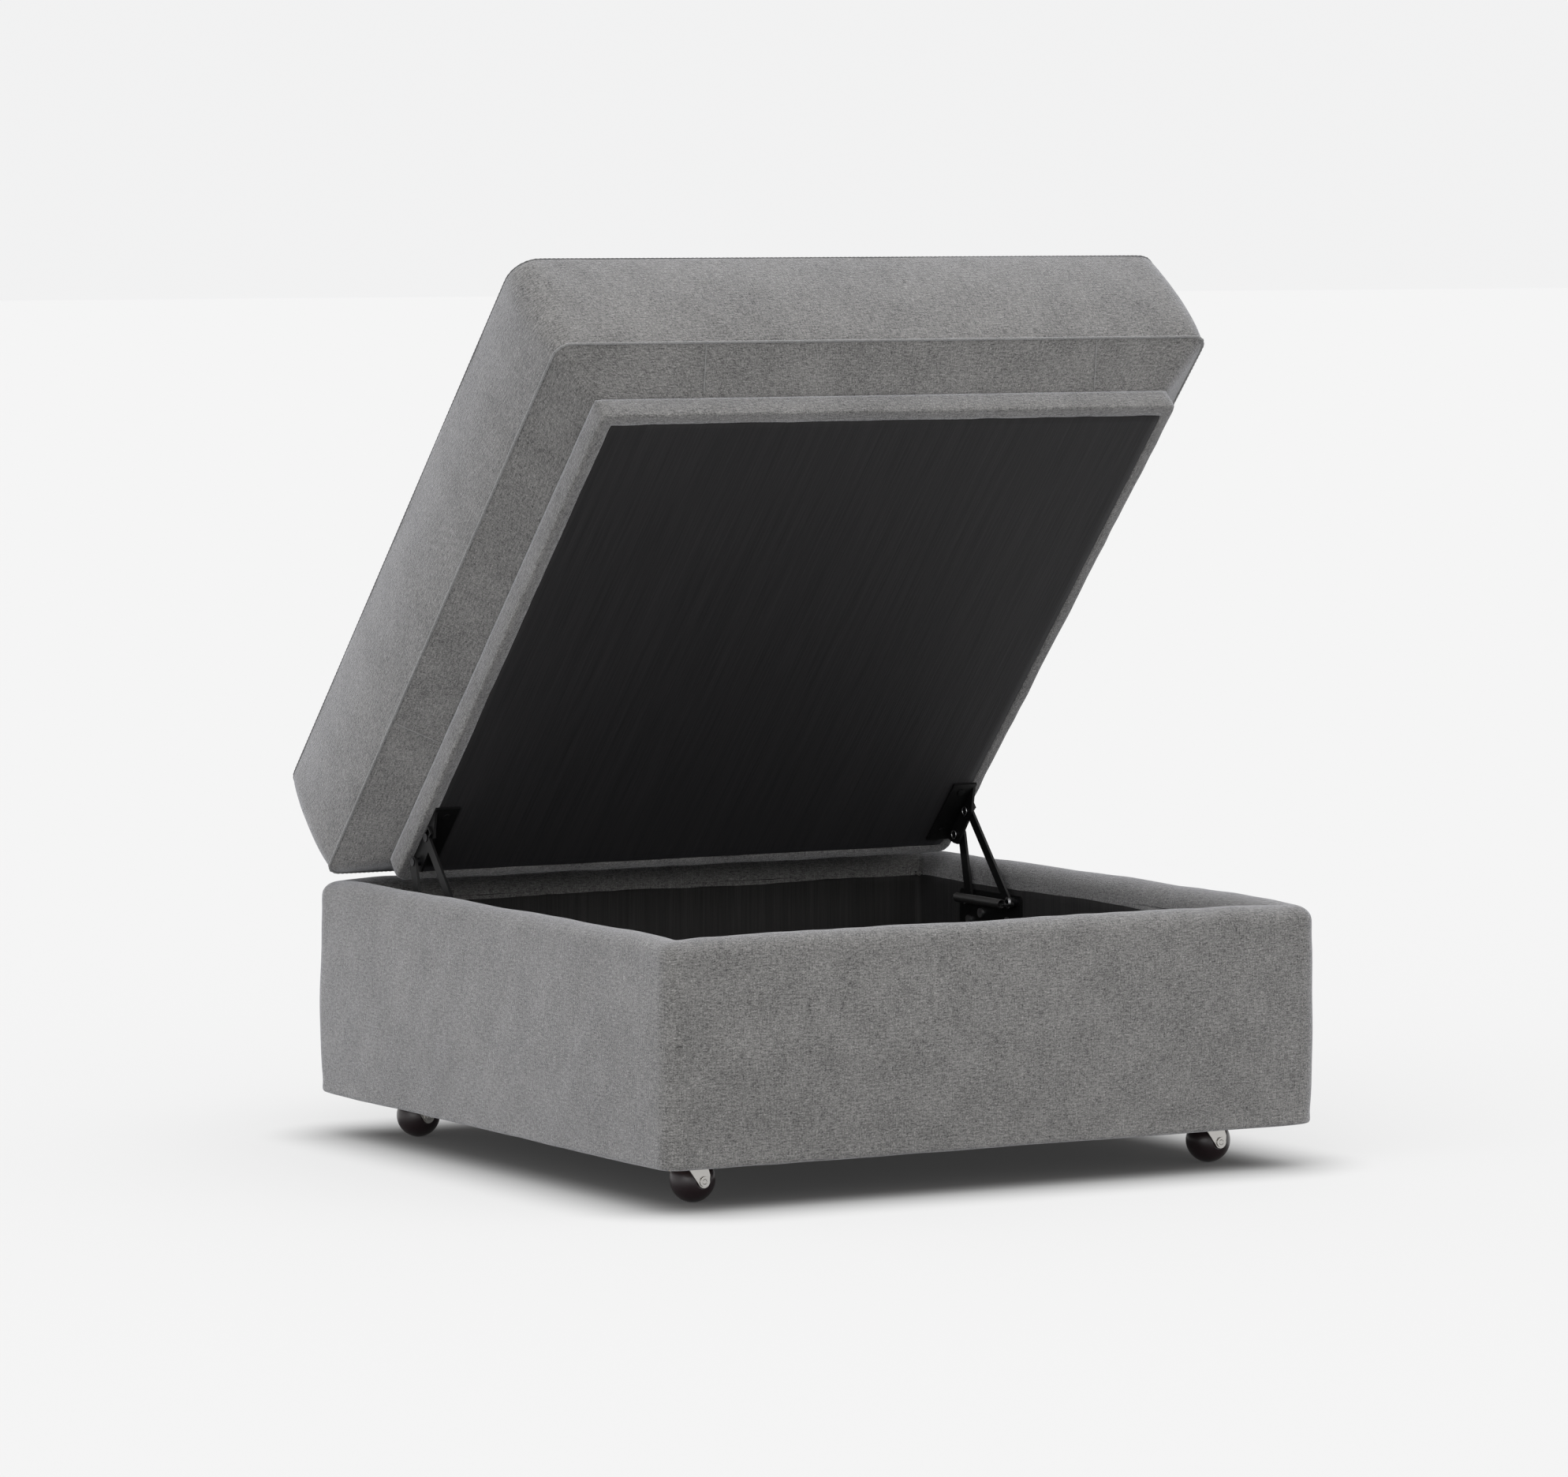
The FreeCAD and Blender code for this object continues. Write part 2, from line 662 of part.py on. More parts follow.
def build_rear_link(side):
    start = (REAR_Y, REAR_Z)
    length = distance(start, REAR_END)
    name = "rear_link_" + side
    solid = fuse(name + "_solid", bar(name, length, "rear_bar_width"),
                 *spring_post(name + "_post", side, *REAR_SPRING))
    holes = (across_bar(name + "_foot", "pivot_radius + running_clearance", "0", "0"),
             across_bar(name + "_head", "pivot_radius + running_clearance", "0", length))
    link = cut(name, solid, *holes)
    keep(stand(link, side, REAR_BAR_AT, start, REAR_END), name)


def build_front_link(side):
    """The long bar: its upper hole is a short slot, the linkage's free play."""
    start = (FRONT_Y, FRONT_Z)
    length = distance(start, FRONT_END)
    name = "front_link_" + side
    hole = "(rivet_radius + slot_clearance)"
    ear_width = "(slot_reach + 2 * %s + 2 * slot_wall)" % hole
    ear_height = "(slot_rise + 2 * %s + 2 * slot_wall)" % hole
    ear = box(name + "_ear", ("bar_thickness", ear_width, ear_height),
              ("0 - bar_thickness / 2", "0 - slot_reach - %s - slot_wall" % hole,
               "%s - %s - slot_wall" % (length, hole)))
    slot = box(name + "_slot", ("2 * bar_thickness", "slot_reach + 2 * " + hole,
                                "slot_rise + 2 * " + hole),
               ("0 - bar_thickness", "0 - slot_reach - " + hole, "%s - %s" % (length, hole)))
    solid = fuse(name + "_solid", bar(name, length, "front_bar_width"), ear,
                 *spring_post(name + "_post", side, *FRONT_SPRING))
    foot = across_bar(name + "_foot", "pivot_radius + running_clearance", "0", "0")
    link = cut(name, solid, foot, slot)
    keep(stand(link, side, FRONT_BAR_AT, start, FRONT_END), name)


def post_place(post, start, end):
    """World Y and Z of a spring stud, given across and along its bar."""
    run = distance(start, end)
    sine = "((%s - %s) / %s)" % (end[0], start[0], run)
    cosine = "((%s - %s) / %s)" % (end[1], start[1], run)
    world_y = "(%s + (%s) * %s + (%s) * %s)" % (start[0], post[0], cosine, post[1], sine)
    world_z = "(%s - (%s) * %s + (%s) * %s)" % (start[1], post[0], sine, post[1], cosine)
    return world_y, world_z


def build_spring(side):
    """The tension spring as a closed coil, with a ring hook over each stud."""
    back = post_place(REAR_SPRING, (REAR_Y, REAR_Z), REAR_END)
    front = post_place(FRONT_SPRING, (FRONT_Y, FRONT_Z), FRONT_END)
    plane = FRONT_BAR_AT + " + bar_thickness + spring_plane"
    ring = "(spring_post + running_clearance)"
    hooks = []
    for index, (y, z) in enumerate((back, front)):
        outer = plane + " - spring_wire"
        inner = plane + " + spring_wire"
        eye = disc("spring_eye_%s_%d" % (side, index), side, outer, inner,
                   ring + " + 2 * spring_wire", y, z)
        bore = disc("spring_bore_%s_%d" % (side, index), side, outer + " - 1", inner + " + 1",
                    ring, y, z)
        hooks.append((eye, bore))
    run = distance(front, back)
    gap = "(%s + spring_wire)" % ring
    coil = doc.addObject("Part::Cylinder", "spring_coil_" + side)
    bind(coil, "Radius", "spring_radius")
    bind(coil, "Height", run + " - 2 * " + gap)
    lean = "-1 * atan2(%s - %s; %s - %s)" % (back[0], front[0], back[1], front[1])
    coil.Placement = FreeCAD.Placement(Vector(), FreeCAD.Rotation(Vector(1, 0, 0), -1))
    bind(coil, "Placement.Rotation.Angle", lean)
    share = "(%s / %s)" % (gap, run)
    place(coil, side_at(side, plane),
          "%s + (%s - %s) * %s" % (front[0], back[0], front[0], share),
          "%s + (%s - %s) * %s" % (front[1], back[1], front[1], share))
    solid = fuse("spring_solid_" + side, coil, hooks[0][0], hooks[1][0])
    name = "hinge_spring_" + side
    keep(cut(name, solid, hooks[0][1], hooks[1][1]), name)


def build_base_plate(side):
    """The flat plate that is bolted through the lining to the side's top rail."""
    name = "hinge_base_plate_" + side
    body = new_body(name + "_sheet")
    offset = side_at(side, "plate_thickness") if side == "right" else side_at(side, "0")
    sketch = new_sketch(body, name + "_outline", "YZ_Plane", offset)
    draw_rounded(sketch, FRONT_Y + " - hinge_plate_front", REAR_Y + " + hinge_plate_back",
                 REAR_Z + " - hinge_plate_bottom", FRONT_Z + " + hinge_plate_top",
                 "hinge_plate_corner")
    pad(body, sketch, "plate_thickness", name + "_pad")
    holes = [disc("%s_pivot_%d" % (name, index), side, "0 - 1", "plate_thickness + 1",
                  "pivot_radius", y, z)
             for index, (y, z) in enumerate(((REAR_Y, REAR_Z), (FRONT_Y, FRONT_Z)))]
    for index, (y, z) in enumerate(BOLTS):
        holes.append(disc("%s_bolt_%d" % (name, index), side, "0 - 1", "plate_thickness + 1",
                          "bolt_radius", y, z))
    keep(cut(name, body, *holes), name)


BOLTS = (
    (REAR_Y + " - 18.5", REAR_Z + " - 15"),
    (REAR_Y + " + 8", REAR_Z + " - 25"),
    (FRONT_Y + " + 16", FRONT_Z + " - 24"),
)


def build_base_rivets(side):
    """The two pivot studs on the base plate, each with a collar and a head."""
    name = "hinge_base_rivets_" + side
    solids = []
    for index, (y, z, bar_at) in enumerate(((REAR_Y, REAR_Z, REAR_BAR_AT),
                                            (FRONT_Y, FRONT_Z, FRONT_BAR_AT))):
        collar = disc("%s_collar_%d" % (name, index), side, "plate_thickness",
                      bar_at + " - running_clearance", "rivet_head", y, z)
        face = bar_at + " + bar_thickness + running_clearance"
        shank = disc("%s_shank_%d" % (name, index), side, "0 * bar_thickness", face,
                     "pivot_radius", y, z)
        head = disc("%s_head_%d" % (name, index), side, face, face + " + head_thickness",
                    "stud_head", y, z)
        solids.append(fuse("%s_%d" % (name, index), collar, shank, head))
    group(name, solids)


def lid_disc(name, side, outer, inner, radius, along, up):
    """As disc, in the lid's own frame."""
    return disc(name, side, outer, inner, radius, along, up)


def build_lid_plate(side):
    """The angle bracket under the lid: a flange on the panel and a hanging lug."""
    name = "hinge_lid_plate_" + side
    low = "0 - " + PLINTH_BOTTOM
    front = LID_FRONT_Y + " - flange_front"
    back = LID_REAR_Y + " + flange_back"
    lug_x = side_at(side, LUG_FACE)
    outer_x = side_at(side, LUG_AT)
    start = lug_x + " - flange_width" if side == "right" else outer_x
    flange = box(name + "_flange", ("flange_width + plate_thickness",
                                    "(%s) - (%s)" % (back, front), "plate_thickness"),
                 (start, front, low + " - plate_thickness"))
    body = new_body(name + "_web")
    sketch = new_sketch(body, name + "_outline", "YZ_Plane",
                        lug_x if side == "right" else outer_x)
    draw_outline(sketch, (
        (front, low),
        (back, low),
        (LID_REAR_Y + " + lug_reach * 1.2", LID_REAR_Z + " - lug_reach * 0.4"),
        (LID_REAR_Y + " + lug_reach * 0.6", LID_REAR_Z + " - lug_reach * 1.2"),
        (LID_REAR_Y + " - lug_reach * 0.5", LID_REAR_Z + " - lug_reach * 1.1"),
        (LID_FRONT_Y + " - lug_reach * 0.9", LID_FRONT_Z + " - lug_reach"),
        (LID_FRONT_Y + " - lug_reach * 1.8", LID_FRONT_Z + " - lug_reach * 0.3"),
    ))
    pad(body, sketch, "plate_thickness", name + "_pad")
    solid = fuse(name + "_solid", flange, body)
    holes = [disc("%s_pivot_%d" % (name, index), side, LUG_AT + " - 1", LUG_FACE + " + 1",
                  radius, y, z)
             for index, (radius, y, z) in enumerate((
                 ("pivot_radius", LID_REAR_Y, LID_REAR_Z),
                 ("rivet_radius", LID_FRONT_Y, LID_FRONT_Z)))]
    for index, (x, y) in enumerate(screw_places(side)):
        holes.append(cylinder("%s_screw_%d" % (name, index), "screw_radius",
                              "3 * plate_thickness", (x, y, low + " - 2 * plate_thickness"), "z"))
    keep(place_in_lid(cut(name, solid, *holes)), name)


def screw_places(side):
    """The two screws through a lid plate's flange, in the lid's frame."""
    x = side_at(side, LUG_FACE + " + flange_width / 2")
    return ((x, LID_FRONT_Y + " - flange_front + 13"), (x, LID_REAR_Y + " + flange_back - 16"))


def build_lid_rivets(side):
    """The lid plate's two rivets: rear into the short bar, front in the slot."""
    name = "hinge_lid_rivets_" + side
    rear_face = REAR_BAR_AT
    solids = []
    shank = disc(name + "_rear_shank", side, rear_face + " - head_thickness", LUG_FACE,
                 "pivot_radius", LID_REAR_Y, LID_REAR_Z)
    tail = disc(name + "_rear_tail", side,
                rear_face + " - head_thickness - running_clearance",
                rear_face + " - running_clearance", "rivet_head * 0.8",
                LID_REAR_Y, LID_REAR_Z)
    collar = disc(name + "_rear_collar", side,
                  REAR_BAR_AT + " + bar_thickness + running_clearance", LUG_AT,
                  "rivet_head * 0.8", LID_REAR_Y, LID_REAR_Z)
    head = disc(name + "_rear_head", side, LUG_FACE, LUG_FACE + " + cap_thickness",
                "rivet_head", LID_REAR_Y, LID_REAR_Z)
    solids.append(fuse(name + "_rear", shank, tail, collar, head))
    front_face = FRONT_BAR_AT
    shank = disc(name + "_front_shank", side, front_face + " - head_thickness", LUG_FACE,
                 "rivet_radius", LID_FRONT_Y, LID_FRONT_Z)
    tail = disc(name + "_front_tail", side,
                front_face + " - head_thickness - running_clearance",
                front_face + " - running_clearance", "rivet_head * 0.8",
                LID_FRONT_Y, LID_FRONT_Z)
    head = disc(name + "_front_head", side, LUG_FACE, LUG_FACE + " + cap_thickness",
                "rivet_head", LID_FRONT_Y, LID_FRONT_Z)
    solids.append(fuse(name + "_front", shank, tail, head))
    compound = group(name, solids)
    place_in_lid(compound)


def build_hinge_fasteners():
    """Bolts into the top rails and screws into the lid's plinth board."""
    bolts = []
    screws = []
    low = "0 - " + PLINTH_BOTTOM
    for side in ("left", "right"):
        for index, (y, z) in enumerate(BOLTS):
            name = "bolt_%s_%d" % (side, index)
            shank = disc(name + "_shank", side, "plate_thickness - bolt_length",
                         "plate_thickness", "bolt_radius", y, z)
            head = disc(name + "_head", side, "plate_thickness",
                        "plate_thickness + rear_bar_gap - bar_gap / 2", "bolt_head", y, z)
            bolts.append(fuse(name, shank, head))
        for index, (x, y) in enumerate(screw_places(side)):
            name = "lid_screw_%s_%d" % (side, index)
            shank = cylinder(name + "_shank", "screw_radius", "bolt_length",
                             (x, y, low + " - plate_thickness"), "z")
            head = cylinder(name + "_head", "screw_head", "head_thickness * 1.5",
                            (x, y, low + " - plate_thickness - head_thickness * 1.5"), "z")
            screws.append(fuse(name, shank, head))
    group("hinge_base_bolts", bolts)
    place_in_lid(group("hinge_lid_screws", screws))


def build_hinges():
    for side in ("left", "right"):
        build_base_plate(side)
        build_base_rivets(side)
        build_rear_link(side)
        build_front_link(side)
        build_spring(side)
        build_lid_plate(side)
        build_lid_rivets(side)
    build_hinge_fasteners()


# ------------------------------------------------------------ the ball casters

LEFT_X = "(wheel_inset_left - base_width / 2 - trail_length)"
RIGHT_X = "(base_width / 2 - wheel_inset_right - trail_length)"
FRONT_CASTER_Y = "(wheel_inset_depth - base_depth / 2)"
BACK_CASTER_Y = "(base_depth / 2 - wheel_inset_depth)"
CORNERS = {
    "front_left": (LEFT_X, FRONT_CASTER_Y),
    "front_right": (RIGHT_X, FRONT_CASTER_Y),
    "back_left": (LEFT_X, BACK_CASTER_Y),
    "back_right": (RIGHT_X, BACK_CASTER_Y),
}
LEG_FACE = "(ball_flat + leg_gap)"
LEG_OUTER = "(ball_flat + leg_gap + leg_thickness)"
PLATE_TOP = "(base_bottom + board_recess - dust_cloth)"
PLATE_LOW = "(base_bottom + board_recess - dust_cloth - caster_plate_thickness)"
CROWN_TOP = "(crown_low + crown_thickness)"
# The ball hangs a fixed clearance under the fork's crown, whatever its radius.
AXLE_Z = "(crown_low - ball_to_crown - ball_radius)"


def build_ball(corner, x, y):
    """The ball, cut flat where the fork's legs pass and bored for its axle."""
    name = "caster_wheel_" + corner
    ball = doc.addObject("Part::Sphere", name + "_sphere")
    bind(ball, "Radius", "ball_radius")
    slab = box(name + "_slab", ("2 * ball_radius", "2 * ball_flat", "2 * ball_radius"),
               ("0 - ball_radius", "0 - ball_flat", "0 - ball_radius"))
    bore = cylinder(name + "_bore", "axle_radius + running_clearance", "2 * ball_radius",
                    ("0", "0 - ball_radius", "0"), "y")
    wheel = cut(name, common(name + "_cut", ball, slab), bore)
    keep(place(wheel, x + " + trail_length", y, AXLE_Z), name)


def build_fork(corner, x, y):
    """A pressed fork: a flat crown and two legs that taper to the axle eyes."""
    name = "caster_fork_" + corner
    crown = box(name + "_crown", ("crown_length", "2 * " + LEG_OUTER, "crown_thickness"),
                ("0 - crown_length / 2", "0 - " + LEG_OUTER, "crown_low"))
    pieces = [crown]
    for index, start in enumerate(("0 - " + LEG_OUTER, LEG_FACE)):
        body = new_body("%s_leg_%d" % (name, index))
        sketch = new_sketch(body, "%s_leg_%d_outline" % (name, index), "XZ_Plane",
                            "0 - (%s) - leg_thickness" % start)
        draw_outline(sketch, (
            ("0 - crown_length / 2", CROWN_TOP),
            ("0 - crown_length / 2", "crown_low - 2"),
            ("trail_length - leg_eye * 0.94", AXLE_Z + " - leg_eye * 0.35"),
            ("trail_length + leg_eye * 0.94", AXLE_Z + " - leg_eye * 0.35"),
            ("trail_length + leg_eye * 1.05", AXLE_Z + " + leg_eye"),
            ("crown_length / 2", "crown_low - 2"),
            ("crown_length / 2", CROWN_TOP),
        ))
        pad(body, sketch, "leg_thickness", "%s_leg_%d_pad" % (name, index))
        pieces.append(body)
        pieces.append(cylinder("%s_eye_%d" % (name, index), "leg_eye", "leg_thickness",
                               ("trail_length", start, AXLE_Z), "y"))
    hole = cylinder(name + "_hole", "axle_radius", "4 * ball_radius",
                    ("trail_length", "0 - 2 * ball_radius", AXLE_Z), "y")
    bore = cylinder(name + "_bore", "kingpin_radius + running_clearance",
                    "3 * crown_thickness", ("0", "0", "crown_low - crown_thickness"), "z")
    fork = cut(name, fuse(name + "_solid", *pieces), hole, bore)
    keep(place(fork, x, y, "0"), name)


def build_axle(corner, x, y):
    """The axle, riveted over outside both legs."""
    name = "caster_axle_" + corner
    shank = cylinder(name + "_shank", "axle_radius", "2 * " + LEG_OUTER,
                     ("trail_length", "0 - " + LEG_OUTER, AXLE_Z), "y")
    pieces = [shank]
    for index, start in enumerate(("0 - %s - head_thickness * 1.5" % LEG_OUTER, LEG_OUTER)):
        pieces.append(cylinder("%s_head_%d" % (name, index), "axle_head",
                               "head_thickness * 1.5",
                               ("trail_length", start, AXLE_Z), "y"))
    keep(place(fuse(name, *pieces), x, y, "0"), name)


def screw_offsets():
    half = "caster_hole_pitch / 2"
    return [(x, y) for x in (half, "0 - " + half) for y in (half, "0 - " + half)]


def build_caster_plate(corner, x, y):
    """The square mounting plate, with a hole at each corner and for the kingpin."""
    name = "caster_plate_" + corner
    blank = box(name + "_blank", ("caster_plate", "caster_plate", "caster_plate_thickness"),
                ("0 - caster_plate / 2", "0 - caster_plate / 2", "0"))
    holes = [cylinder("%s_hole_%d" % (name, index), "screw_radius",
                      "3 * caster_plate_thickness",
                      (hole_x, hole_y, "0 - caster_plate_thickness"), "z")
             for index, (hole_x, hole_y) in enumerate(screw_offsets())]
    holes.append(cylinder(name + "_bore", "kingpin_radius", "3 * caster_plate_thickness",
                          ("0", "0", "0 - caster_plate_thickness"), "z"))
    keep(place(cut(name, blank, *holes), x, y, PLATE_LOW), name)


def build_casters():
    kingpins = []
    races = []
    screws = []
    for corner, (x, y) in CORNERS.items():
        build_caster_plate(corner, x, y)
        build_fork(corner, x, y)
        build_axle(corner, x, y)
        build_ball(corner, x, y)
        pin_low = "crown_low - running_clearance"
        shank = cylinder("kingpin_shank_" + corner, "kingpin_radius",
                         "%s - (%s)" % (PLATE_TOP, pin_low), (x, y, pin_low), "z")
        head = cylinder("kingpin_head_" + corner, "kingpin_head", "head_thickness * 1.5",
                        (x, y, pin_low + " - head_thickness * 1.5"), "z")
        kingpins.append(fuse("kingpin_" + corner, shank, head))
        race_low = CROWN_TOP + " + race_gap"
        ring = cylinder("race_ring_" + corner, "race_outer", "%s - (%s)" % (PLATE_LOW, race_low),
                        (x, y, race_low), "z")
        bore = cylinder("race_bore_" + corner, "race_inner", "2 * " + PLATE_LOW, (x, y, "0"), "z")
        races.append(cut("race_" + corner, ring, bore))
        for index, (hole_x, hole_y) in enumerate(screw_offsets()):
            name = "caster_screw_%s_%d" % (corner, index)
            at = ("%s + %s" % (x, hole_x), "%s + %s" % (y, hole_y))
            shank = cylinder(name + "_shank", "screw_radius", "board_thickness",
                             at + (PLATE_LOW,), "z")
            head = cylinder(name + "_head", "screw_head * 0.9", "head_thickness",
                            at + (PLATE_LOW + " - head_thickness",), "z")
            screws.append(fuse(name, shank, head))
    group("caster_kingpins", kingpins)
    group("caster_races", races)
    group("caster_screws", screws)


# ------------------------------------------------------------ build and write

build_frame()
build_base_soft_parts()
build_lid()
build_hinges()
build_casters()
doc.recompute()

faulty = [obj.Label for obj in doc.Objects
          if "Invalid" in obj.State or "Error" in obj.State]
if faulty:
    raise RuntimeError("these objects failed: " + ", ".join(faulty))
for obj in nodes:
    if obj.Shape.isNull() or not obj.Shape.isValid():
        raise RuntimeError(obj.Label + " has no valid shape")

os.makedirs("parts", exist_ok=True)
for obj in nodes:
    obj.Shape.exportStep("parts/%s.step" % obj.Label)
    print("%-32s %3d solid(s) %12.1f mm3" % (obj.Label, len(obj.Shape.Solids), obj.Shape.Volume))
print("%d nodes" % len(nodes))
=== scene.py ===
# %% [markdown]
# # A storage ottoman with its lid held open
# The real object is a square upholstered box on four ball casters. Its lid is a boxed
# cushion that two lift hinges carry up and forward, so that it stands open over a well
# lined with black cloth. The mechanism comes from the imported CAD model: this file loads it,
# gives each metal or timber part its finish, and models everything that is cloth afresh.

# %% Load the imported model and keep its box
import json
import math

import bmesh
import bpy
import numpy as np
from mathutils import Matrix, Vector


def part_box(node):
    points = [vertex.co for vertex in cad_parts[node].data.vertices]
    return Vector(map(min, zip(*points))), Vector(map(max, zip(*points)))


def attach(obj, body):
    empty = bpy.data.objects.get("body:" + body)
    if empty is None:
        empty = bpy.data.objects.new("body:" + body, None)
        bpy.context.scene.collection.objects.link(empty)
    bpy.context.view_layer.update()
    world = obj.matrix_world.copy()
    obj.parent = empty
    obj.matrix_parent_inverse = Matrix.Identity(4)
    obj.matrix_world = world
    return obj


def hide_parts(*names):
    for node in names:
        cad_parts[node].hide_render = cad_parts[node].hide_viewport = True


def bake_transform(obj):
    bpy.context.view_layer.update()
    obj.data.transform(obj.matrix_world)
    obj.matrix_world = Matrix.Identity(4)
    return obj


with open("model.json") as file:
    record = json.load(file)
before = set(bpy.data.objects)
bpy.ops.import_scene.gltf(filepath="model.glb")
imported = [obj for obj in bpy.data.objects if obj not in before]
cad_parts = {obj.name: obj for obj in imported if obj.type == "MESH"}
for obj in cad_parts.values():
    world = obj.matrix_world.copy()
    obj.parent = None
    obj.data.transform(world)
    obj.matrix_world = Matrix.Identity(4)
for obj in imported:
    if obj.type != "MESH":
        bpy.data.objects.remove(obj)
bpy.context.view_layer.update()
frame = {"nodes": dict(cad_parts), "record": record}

# %% [markdown]
# ## The sizes that the cloth has to follow
# Cloth is cut to fit what is under it, so every size here is read from a CAD part's box
# and not typed in again. The lid's parts are boxes in a frame of their own, tilted about X,
# so the tilt is read from the lid's underside panel.

# %% Read the places of the box and of the lid
base_low, base_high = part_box("base_cover")
lining_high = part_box("lining_walls")[1]
half = base_high.x
rim_top = base_high.z
skirt = base_low.z
inner = lining_high.x - 0.002
band_low = lining_high.z
floor_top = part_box("lining_floor")[1].z


def points_of(node):
    """The corner points of a CAD part, one row each."""
    mesh = frame["nodes"][node].data
    flat = np.zeros(len(mesh.vertices) * 3)
    mesh.vertices.foreach_get("co", flat)
    return flat.reshape(-1, 3)


def lid_tilt():
    """The angle of the lid, from the long edge of its underside panel."""
    panel = points_of("lid_dust_cover")
    back = panel[panel[:, 2].argmin()]
    front = panel[panel[:, 1].argmin()]
    return math.atan2(front[2] - back[2], back[1] - front[1])


tilt = lid_tilt()
print("box half width %.3f, rim %.3f, well half width %.3f" % (half, rim_top, inner))
print("lid tilt %.2f degrees" % math.degrees(tilt))

# %% Find the lid's own frame from its parts
lean = Matrix.Rotation(-tilt, 3, "X")
lean_rows = np.array(lean)


def in_lid_frame(points):
    """Row-frame points turned back by the lid's tilt, so the cushion lies level."""
    return points @ lean_rows


cover_points = in_lid_frame(points_of("lid_cover"))
seam_points = in_lid_frame(points_of("welt_bottom"))
top_points = in_lid_frame(points_of("welt_top"))
plinth_points = in_lid_frame(points_of("plinth_cover"))
seam_level = (seam_points[:, 2].min() + seam_points[:, 2].max()) / 2
lid_origin = np.array([0.0, cover_points[:, 1].max(), seam_level])
lid_half = cover_points[:, 0].max()
lid_depth = cover_points[:, 1].max() - cover_points[:, 1].min()
top_seam = (top_points[:, 2].min() + top_points[:, 2].max()) / 2 - seam_level
border_low = cover_points[:, 2].min() - seam_level
plinth_low = plinth_points[:, 2].min() - seam_level
plinth_half = plinth_points[:, 0].max()
print("lid %.3f x %.3f, band %.3f high, plinth %.3f deep"
      % (lid_half * 2, lid_depth, top_seam, border_low - plinth_low))


def to_row_frame(points):
    """Points in the lid's own frame, put where the open lid is."""
    return (np.asarray(points) + lid_origin) @ lean_rows.T


# %% [markdown]
# ## Camera and light
# A long lens from the front left keeps the box's edges nearly parallel, as in a catalogue
# picture. Every lamp is a sun with a wide disc, so the light is even at any distance and
# the shadow under the box stays soft. One lamp from the left, one from the front and one
# overhead give each face of the box its own grey.

# %% Place the camera
camera_data = bpy.data.cameras.new("catalogue_camera")
camera_data.sensor_width = 36.0
camera_data.lens = 170.68
camera_data.clip_start = 0.1
camera_data.clip_end = 200.0
camera = bpy.data.objects.new("catalogue_camera", camera_data)
camera.location = (-4.23305, -7.25689, 1.0879)
camera.rotation_euler = (math.radians(90 - 4.22), 0.0, math.radians(-30.07))
bpy.context.scene.collection.objects.link(camera)
bpy.context.scene.camera = camera
bpy.context.scene.view_settings.view_transform = "Standard"
print("camera %.2f m from the box" % camera.location.length)


# %% Light the set
def soft_sun(name, direction, strength, width, tint):
    """A wide sun that shines along a direction."""
    lamp = bpy.data.lights.new(name, "SUN")
    lamp.energy = strength
    lamp.angle = math.radians(width)
    lamp.color = tint
    sun = bpy.data.objects.new(name, lamp)
    sun.rotation_euler = Vector(direction).to_track_quat("-Z", "Y").to_euler()
    bpy.context.scene.collection.objects.link(sun)
    return sun


soft_sun("window_left", (0.80, 0.52, -0.55), 1.15, 60, (0.98, 0.99, 1.0))
soft_sun("fill_front", (-0.25, 0.70, -0.80), 0.60, 80, (1.0, 0.985, 0.96))
soft_sun("overhead", (0.05, 0.12, -1.0), 1.30, 60, (1.0, 1.0, 1.0))

world = bpy.data.worlds.new("pale_room")
bpy.context.scene.world = world
world.use_nodes = True
backdrop = world.node_tree.nodes["Background"]
backdrop.inputs["Color"].default_value = (0.885, 0.885, 0.887, 1.0)
backdrop.inputs["Strength"].default_value = 1.0
print("three suns and a pale room")

# %% [markdown]
# ## Finishes
# Each finish is a Principled shader whose colour, roughness and bump come from noise. The
# parts that several finishes share are node groups: flecks of yarn, streaks of woven cloth,
# and the grain of coated metal. A small helper keeps the wiring short.


# %% Helpers that build node trees
def new_group(name, inputs, outputs):
    """A shader node group with named sockets: (name, type, default)."""
    group = bpy.data.node_groups.new(name, "ShaderNodeTree")
    for label, kind, value in inputs:
        socket = group.interface.new_socket(label, in_out="INPUT", socket_type=kind)
        if value is not None:
            socket.default_value = value
    for label, kind in outputs:
        group.interface.new_socket(label, in_out="OUTPUT", socket_type=kind)
    entry = group.nodes.new("NodeGroupInput")
    leave = group.nodes.new("NodeGroupOutput")
    return group, entry, leave


def add(tree, kind, links=None, **settings):
    """A node with its settings, and its inputs linked or given as plain values."""
    node = tree.nodes.new(kind)
    for key, value in settings.items():
        setattr(node, key, value)
    for key, value in (links or {}).items():
        socket = node.inputs[key]
        if isinstance(value, bpy.types.NodeSocket):
            tree.links.new(value, socket)
        else:
            socket.default_value = value
    return node


def maths(tree, operation, first, second=0.0):
    return add(tree, "ShaderNodeMath", {0: first, 1: second}, operation=operation).outputs[0]


def stretched(tree, vector, scale):
    """Coordinates scaled by a different amount along each axis."""
    return add(tree, "ShaderNodeMapping", {"Vector": vector, "Scale": scale}).outputs[0]


def noise(tree, vector, scale, detail=2.0, roughness=0.5):
    return add(tree, "ShaderNodeTexNoise", {"Vector": vector, "Scale": scale,
                                            "Detail": detail, "Roughness": roughness})


def lighten(tree, colour, amount):
    """A colour multiplied by a factor that changes over the surface."""
    mixer = add(tree, "ShaderNodeVectorMath", {0: colour}, operation="SCALE")
    tree.links.new(amount, mixer.inputs["Scale"])
    return mixer.outputs[0]


print("node helpers ready")

